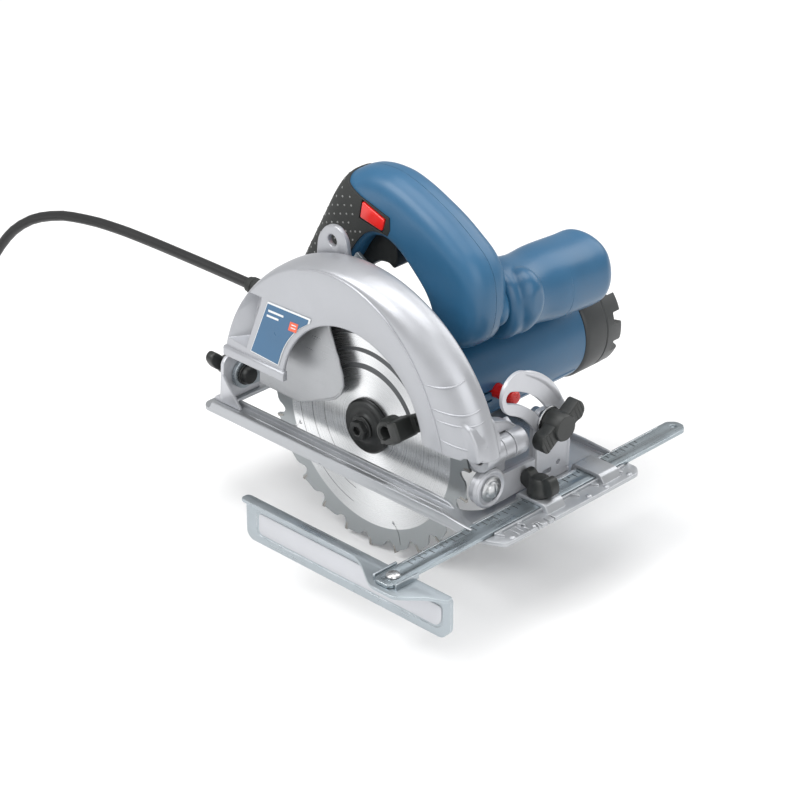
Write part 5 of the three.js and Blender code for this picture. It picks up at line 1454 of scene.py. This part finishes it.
def makeDepthArc():
    x, gap, radius = rear["face"], rear["gap"], depth["radius"]
    earX = x + gap

    def run(r, a, b, steps):
        return [depthPoint(r, a + (b - a) * i / steps) for i in range(steps + 1)]

    low, high = rear["low"], depth["swing"] - 1
    wide, narrow = rear["arcHalf"], rear["slotHalf"]
    band = run(radius + wide, low, high, 40) + run(radius - wide, high, low, 40)
    slotLow = -depth["boltAngle"] - rear["spare"]
    slotHigh = depth["swing"] - depth["boltAngle"] + rear["spare"]
    slot = run(radius + narrow, slotLow, slotHigh, 30) + run(radius - narrow, slotHigh, slotLow, 30)
    arm = prism([(earX, 9), (-42, 9), (-44, 20), (earX, 26)], 24, 26.5)
    ear = weld(disk(11, earX, earX + 3, tilt["axis"], "x", 48),
               prism([(0, 10), (26.5, 9), (26.5, 26), (0, 31)], earX, earX + 3, "x"))
    strap = weld(prism(roundCorners(band, 2, 3), 24, 26.5), arm, ear)
    cut(strap, prism(slot, 23, 28), disk(tilt["hole"], earX - 1, earX + 4, tilt["axis"], "x", 40))
    finishPiece(soften(strap, 0.4, 2, 40), "depthArc", "tilt_frame", finishes["zinc"],
                ["depth_arc"])
    bolt = turned([(0, x - 8), (5.4, x - 8), (6, x - 7.4), (6.5, x - 3.3), (4, x - 3.3), (4, earX + 3.3),
                   (8, earX + 3.3), (8, earX + 4.6), (6.6, earX + 5), (6.6, earX + 7.6), (5.8, earX + 8.8),
                   (0, earX + 9.5)], tilt["axis"], "x", 40)
    finishPiece(bolt, "rearBevelBolt", "tilt_frame", finishes["blackened"],
                ["rear_bevel_bolt"])


def makeDepthClamp():
    spot = depthPoint(depth["radius"], -depth["boltAngle"])
    stud = turned([(0, 14.3), (2.8, 14.3), (2.8, 35.6), (2.4, 36), (0, 36)], spot, "y", 28)
    finishPiece(stud, "depthClampStud", "saw_body", finishes["steel"], ["depth_clamp_stud"])
    outline = [(spot[0] + u, spot[1] + v) for u, v in ((3, -6), (3, 6), (-26, 9), (-31, 5), (-30, -2))]
    arm = soften(prism(roundCorners(outline, 2.5), 28.6, 34), 1.2, 3)
    weld(arm, tube(3.1, 7, 26.8, 37, spot, "y", 40))
    cut(arm, disk(3.1, 26, 38, spot, "y", 32))
    finishPiece(soften(arm, 0.3, 1, 60), "depthClampLever", "depth_lever", finishes["black"],
                ["depth_clamp_lever"])


makeQuadrant()
makeYoke()
makeWingNuts()
makeRearBracket()
makeDepthArc()
makeDepthClamp()
print("tilt parts made")

lockButton = {"spot": (72, spindle[1] + 19), "hole": 5.5, "tip": 56.0}


def makeMotor():
    radius, start, end, axis = motor["radius"], motor["start"], motor["end"], motor["axis"]
    groove = radius - 0.5
    profile = [(0, start), (radius - 0.8, start), (radius, start + 0.8), (radius, start + 9),
               (groove, start + 9.5), (groove, start + 10.3), (radius, start + 10.8), (radius, end - 0.6),
               (radius - 0.6, end), (radius - 2.5, end), (radius - 2.5, start + 12), (0, start + 12)]
    shell = turned(profile, axis, "y", 128)
    # long raised flats along the housing
    flat = ((radius - 2, -3.4), (radius + 0.55, -2.4), (radius + 0.55, 2.4), (radius - 2, 3.4))
    weld(shell, *[soften(prism(spoke(axis, angle, flat), start + 14, end - 3), 0.7, 2)
                  for angle in (-38, 78, 150)])
    cut(shell, disk(13.3, start + 4, start + 13, axis, "y", 48),
        disk(6, start - 1, start + 12, axis, "y", 32),
        disk(8.3, start - 1, start + 9.2, spindle, "y", 40),
        disk(lockButton["hole"], axis[0] + 28, axis[0] + 60, lockButton["spot"], "x", 40))
    # air slots near the gear case
    slot = ((radius - 5, -1.1), (radius + 4, -1.1), (radius + 4, 1.1), (radius - 5, 1.1))
    cut(shell, *[prism(spoke(axis, -74 + 12 * i, slot), start + 16, start + 34) for i in range(7)])
    finishPiece(shell, "motorHousing", "saw_body", finishes["blue"], ["motor_housing"], 30)


endCap = {"inner": 34.5, "gap": 0.3, "notches": 11, "turn": 11, "notchDepth": 9}


def makeEndCap():
    radius, axis, inner = motor["radius"], motor["axis"], endCap["inner"]
    low, to, big = motor["end"] + endCap["gap"], motor["capEnd"], motor["cap"]
    cap = turned([(inner, low), (radius - 0.3, low), (radius + 0.6, low + 0.8), (big, low + 3),
                  (big, low + 20),
                  (big - 0.7, low + 20.6), (big - 0.7, low + 21.6), (big, low + 22.2), (big, to - 3),
                  (big - 0.8, to - 1), (big - 2.4, to), (14, to), (12, to - 1), (0, to - 1), (0, to - 2.5),
                  (inner, to - 2.5)], axis, "y", 128)
    notch = ((29.5, -4.2), (44, -4.8), (44, 4.8), (29.5, 4.2))
    pitch = 360 / endCap["notches"]
    cut(cap, *[soften(prism(spoke(axis, 90 - endCap["turn"] - pitch * i, notch),
                            to - endCap["notchDepth"], to + 2), 0.9, 2) for i in range(endCap["notches"])])
    weld(cap, tube(9.8, 13, to - 14, to - 2, axis, "y", 40))
    finishPiece(soften(cap, 0.35, 2, 45), "motorEndCap", "saw_body", finishes["gray"],
                ["motor_end_cap"], 30)


def makeSpindleLock():
    base, tip = motor["axis"][0] + 30, motor["axis"][0] + lockButton["tip"]
    button = turned([(0, base), (3, base), (3, base + 4), (5.2, base + 4), (5.2, tip - 2.6), (4.9, tip - 1.2),
                     (3.9, tip - 0.2), (0, tip)], lockButton["spot"], "x", 48)
    finishPiece(button, "spindleLockButton", "spindle_lock", finishes["red"],
                ["spindle_lock_button"])


makeMotor()
makeEndCap()
makeSpindleLock()
print("motor made")

handle = {"middle": 45.0, "half": 18.0, "centre": (-30, 109), "partingHalf": 0.15, "triggerHalf": 7.5,
          "screws": ((-94, 66), (-50, 58), (44, 100))}
handleOuter = smoothLoop([
    (-112, 50), (-113, 74), (-104, 98), (-91, 124), (-76, 152), (-63, 175), (-52, 188), (-36, 196),
    (-15, 197.5),
    (4, 193), (22, 185.5), (37, 178), (51, 169), (65, 158), (73, 143), (74, 120), (68, 101), (56, 91),
    (40, 86),
    (14, 78), (-20, 62), (-36, 48), (-60, 44), (-90, 44)], 10)
triggerRoom = [(-56, 112), (-6, 124), (-8, 156), (-20, 161), (-42, 160), (-60, 140)]
buttonRoom = [(-35.2, 162), (-12.5, 157.8), (-9.3, 169), (-32, 177)]
handleInner = smoothLoop([
    (-79, 80), (-62, 74), (-42, 76), (-26, 83), (-8, 89), (12, 94), (26, 101), (31, 110), (25, 124),
    (12, 137.5),
    (-2, 148.5), (-16, 153), (-30, 147), (-44, 126), (-56, 106), (-68, 92)], 10)


# distance from the middle of the handle loop to an outline, in a direction
def reachOf(outline, angle):
    cx, cz = handle["centre"]
    dx, dz = math.cos(math.radians(angle)), math.sin(math.radians(angle))
    best = None
    for (ax, az), (bx, bz) in zip(outline, outline[1:] + outline[:1]):
        ex, ez = bx - ax, bz - az
        cross = dx * ez - dz * ex
        if abs(cross) < 1e-9:
            continue
        t = ((ax - cx) * ez - (az - cz) * ex) / cross
        u = ((ax - cx) * dz - (az - cz) * dx) / cross
        if 0 <= u < 1 and t > 0:
            best = t if best is None else max(best, t)
    return best


def sectionCorner(angle, across, lift, reach):
    cx, cz = handle["centre"]
    r = reach[0] + (reach[1] - reach[0]) * across
    a = math.radians(angle)
    return Vector((cx + r * math.cos(a), handle["middle"] + lift, cz + r * math.sin(a)))


# one ring of the handle band: flat sides near the finger loop and a crowned outer edge
def handleRing(angle, grow=0.0, first=0.0, steps=10):
    reach = (reachOf(handleInner, angle), reachOf(handleOuter, angle))
    width = reach[1] - reach[0]
    half = handle["half"] + grow
    crown = min(0.62, 17 / width)
    top = 1 + grow / width
    if first <= 0:
        inset = min(0.2, 5 / width)
        side = [(inset * (1 - math.cos(q)), half - 4.5 * (1 - math.sin(q)))
                for q in (math.pi / 2 * i / 4 for i in range(5))]
    else:
        side = [(first, half - 3), (first, half)]
    begin = side[-1][0]
    for i in range(1, 4):
        side.append((begin + (top - crown - begin) * i / 4, half))
    for i in range(steps + 1):
        t = math.pi / 2 * i / steps
        side.append((top - crown + crown * math.sin(t) ** 0.92,
                     half * (math.cos(t) ** 0.72) if i < steps else 0.0))
    ring = [sectionCorner(angle, a, -h, reach) for a, h in side]
    ring += [sectionCorner(angle, a, h, reach) for a, h in side[-2::-1]]
    return ring


# rooms of the trigger and of the button that goes across, cut out of handle and sleeve
def controlRooms(beyond):
    middle, half = handle["middle"], handle["triggerHalf"]
    reach = handle["half"] + beyond
    return [prism(triggerRoom, middle - half, middle + half),
            prism(buttonRoom, middle - reach, middle + reach)]


def motorRoom():
    return disk(motor["room"], 0, 200, motor["axis"], "y", 96)


# right and left half of a body, on each side of the parting
def halves(body):
    middle, gap = handle["middle"], handle["partingHalf"]
    right = keep(copyOf(body), block(-200, 200, -20, middle - gap, -50, 300))
    return right, keep(body, block(-200, 200, middle + gap, 120, -50, 300))


def makeHandle():
    count = 180
    body = skin([handleRing(360 * i / count) for i in range(count)], "handleBody", True)
    middle = handle["middle"]
    rooms = [motorRoom(), disk(9.4, -125, -94, (45, 61.5), "x", 48), *controlRooms(4)]
    # seam that marks the stem under the front end, and a shallow panel on the right side
    rooms += [block(60, 90, middle - 18.6, middle - 17.4, 80, 108),
              rod([Vector((80, 33, 104)), Vector((70, 33, 104)), Vector((60, 26.6, 95))], 0.5, 8)]
    cut(body, *rooms)
    right, left = halves(body)
    screws = []
    for spot in handle["screws"]:
        hole = turned([(0, 24), (3.6, 24), (3.6, 29.5), (0, 29.5)], spot, "y", 32)
        head = turned([(0, 30.4), (3.3, 30.4), (3.3, 28.6), (2.6, 28.0), (0, 27.9)], spot, "y", 32)
        cut(right, hole)
        screws.append(cut(head, prism(hexagon(spot, 1.6, 0), 26, 29.2)))
    # second lump at the lower end of the band, where it meets the front handle
    lump = swelling((50, 56, 123), (26, 13, 17), 32, 40, 24)
    keep(lump, block(-50, 150, middle + handle["partingHalf"], 63, 60, 200))
    cut(lump, motorRoom())
    weld(left, lump)
    finishPiece(together(*screws), "handleScrews", "saw_body", finishes["blackened"])
    finishPiece(right, "handleShellRight", "saw_body", finishes["blue"],
                ["handle_shell_right"], 32)
    finishPiece(left, "handleShellLeft", "saw_body", finishes["blue"],
                ["handle_shell_left"], 32)


grip = {"start": 66, "end": 207, "grow": 1.3, "first": 0.1, "rows": 22, "pitch": 6.2, "dot": 0.92,
        "dotHeight": 0.55, "sunk": 0.15}
gripEdge = [(-90, 250), (-54, 192), (-47, 184), (-33.5, 178), (-7, 170.5), (-6, 140), (80, 130), (80, 250)]


# keeps the dots off the sleeve's slanted edge and off the button
def nearEdge(spot):
    above = spot.z - (192 + (spot.x + 54) * -0.68)
    return above > -5 or (spot.x > -40 and spot.z > 153)


def makeGrips():
    count = 60
    angles = [grip["start"] + (grip["end"] - grip["start"]) * i / count for i in range(count + 1)]
    # the sleeve thins out at both ends
    rings = []
    for i, angle in enumerate(angles):
        share = min(1, 0.15 + 0.85 * min(i, count - i) / 2)
        rings.append(handleRing(angle, grip["grow"] * share, grip["first"]))
    sleeve = skin(rings, "sleeve")
    cut(sleeve, prism(gripEdge, -20, 120), *controlRooms(6))
    right, left = halves(sleeve)
    finishPiece(right, "gripPadRight", "saw_body", finishes["rubber"], ["grip_pad_right"], 50)
    finishPiece(left, "gripPadLeft", "saw_body", finishes["rubber"], ["grip_pad_left"], 50)
    makeGripDots()


# staggered dots at an even pitch round each section of the sleeve, on both sides
def makeGripDots():
    centre = Vector((handle["centre"][0], handle["middle"], handle["centre"][1]))
    points, normals = [], []
    rows, pitch = grip["rows"], grip["pitch"]
    for i in range(rows):
        angle = grip["start"] + 4 + (grip["end"] - grip["start"] - 8) * i / (rows - 1)
        ring = handleRing(angle, grip["grow"], grip["first"])
        nearby = handleRing(angle + 0.5, grip["grow"], grip["first"])
        half = len(ring) // 2
        for way in (1, -1):
            travelled, wanted = 0.0, 3.6 + (pitch / 2 if i % 2 else 0)
            order = range(1, half - 2) if way > 0 else range(len(ring) - 2, half + 2, -1)
            for k in order:
                step = (ring[k + way] - ring[k]).length
                while travelled + step > wanted and step > 0:
                    spot = ring[k].lerp(ring[k + way], (wanted - travelled) / step)
                    along = (ring[k + way] - ring[k]).normalized()
                    normal = along.cross((nearby[k] - ring[k]).normalized())
                    if normal.dot(spot - centre) < 0:
                        normal = -normal
                    if not nearEdge(spot):
                        points.append(spot - normal * grip["sunk"])
                        normals.append(normal)
                    wanted += pitch
                travelled += step
    dots = repeat("domes", points, normals, finishes["dots"], Radius=grip["dot"],
                  Height_Share=grip["dotHeight"])
    finishPiece(dots, "gripDots", "saw_body", finishes["dots"], (), 60)


def makeControls():
    trigger = prism(smoothLoop([(-40, 120), (-30, 127), (-20, 129), (-14, 127), (-11, 134), (-14, 150),
                                (-24, 157),
                                (-38, 155), (-46, 142), (-46, 128)], 6), 38, 52)
    finishPiece(soften(trigger, 1.6, 4, 40), "switchTrigger", "trigger", finishes["black"],
                ["switch_trigger"], 40)
    lock = prism(roundCorners([(-34, 163), (-13, 159), (-10.5, 168), (-31.5, 175.5)], 1.6),
                 handle["middle"] - 19.8, handle["middle"] + 19.8)
    finishPiece(soften(lock, 1.1, 3, 40), "lockOffButton", "lock_off", finishes["red"],
                ["lock_off_button"], 40)


frontHandle = {"end": 170.0, "centre": (48, 112), "drop": 5.0, "round": 12.0, "steps": 40, "seam": 78}


def makeFrontHandle():
    nose = [(24, 97), (44, 87), (60, 88), (71, 97), (75, 110), (73, 124), (66, 134), (52, 139.4), (36, 138),
            (24, 128), (20, 112)]
    start, end = handle["middle"] + handle["half"] + 0.3, frontHandle["end"]
    loop = smoothLoop(nose, 8)
    u0, v0 = frontHandle["centre"]
    steps, roundOff = frontHandle["steps"], frontHandle["round"]

    def section(y, share, drop, points):
        return [Vector((u0 + (u - u0) * share, y, v0 + (v - v0) * share - drop)) for u, v in points]

    rings = []
    for i in range(steps + 1):
        y = start + (end - start) * i / steps
        # swells at the root, waist behind it, then full again and rounded at the far end
        share = 1.0 - 0.075 * math.exp(-((i - 13) / 5.5) ** 2)
        left, near = end - y, y - start
        if left < roundOff:
            share *= 0.55 + 0.45 * math.sqrt(max(0, 1 - ((roundOff - left) / roundOff) ** 2))
        if near < 5:
            share *= 0.86 + 0.14 * math.sin(math.pi / 2 * near / 5)
        rings.append(section(y, share, frontHandle["drop"] * min(max((y - 80) / 70, 0), 1), loop))
    body = skin(rings)
    weld(body, swelling((60, 81, 113), (20, 14.5, 27), 26, 48, 28))
    keep(body, block(-50, 80, start, 200, 60, 149.5))
    cut(body, motorRoom())
    melt(body, 0.9, 10)
    # panel line across the grip
    rim = section(handle["middle"] + frontHandle["seam"], 1.002, 2.8, [(u, v) for u, v in loop if u > 62])
    cut(body, rod(rim, 0.35, 8))
    finishPiece(body, "frontHandle", "saw_body", finishes["blue"], ["front_handle"], 60)


makeHandle()
makeGrips()
makeControls()
makeFrontHandle()
print("handles made")

innerFinishes = {
    "spindle": "steel", "spindle_bearing": "steel", "spindle_bush": "bronze", "driven_gear": "steel",
    "guard_spring": "steel", "front_motor_bearing": "steel", "rear_motor_bearing": "steel",
    "armature_shaft": "steel", "armature_core": "iron", "commutator": "copper", "cooling_fan": "black",
    "stator": "iron", "carbon_brush_front": "carbon", "carbon_brush_rear": "carbon",
    "brush_holder_front": "bronze", "brush_holder_rear": "bronze",
}
for node, look in innerFinishes.items():
    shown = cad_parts[node]
    shown.data.materials.clear()
    shown.data.materials.append(finishes[look])
print("inner parts finished")
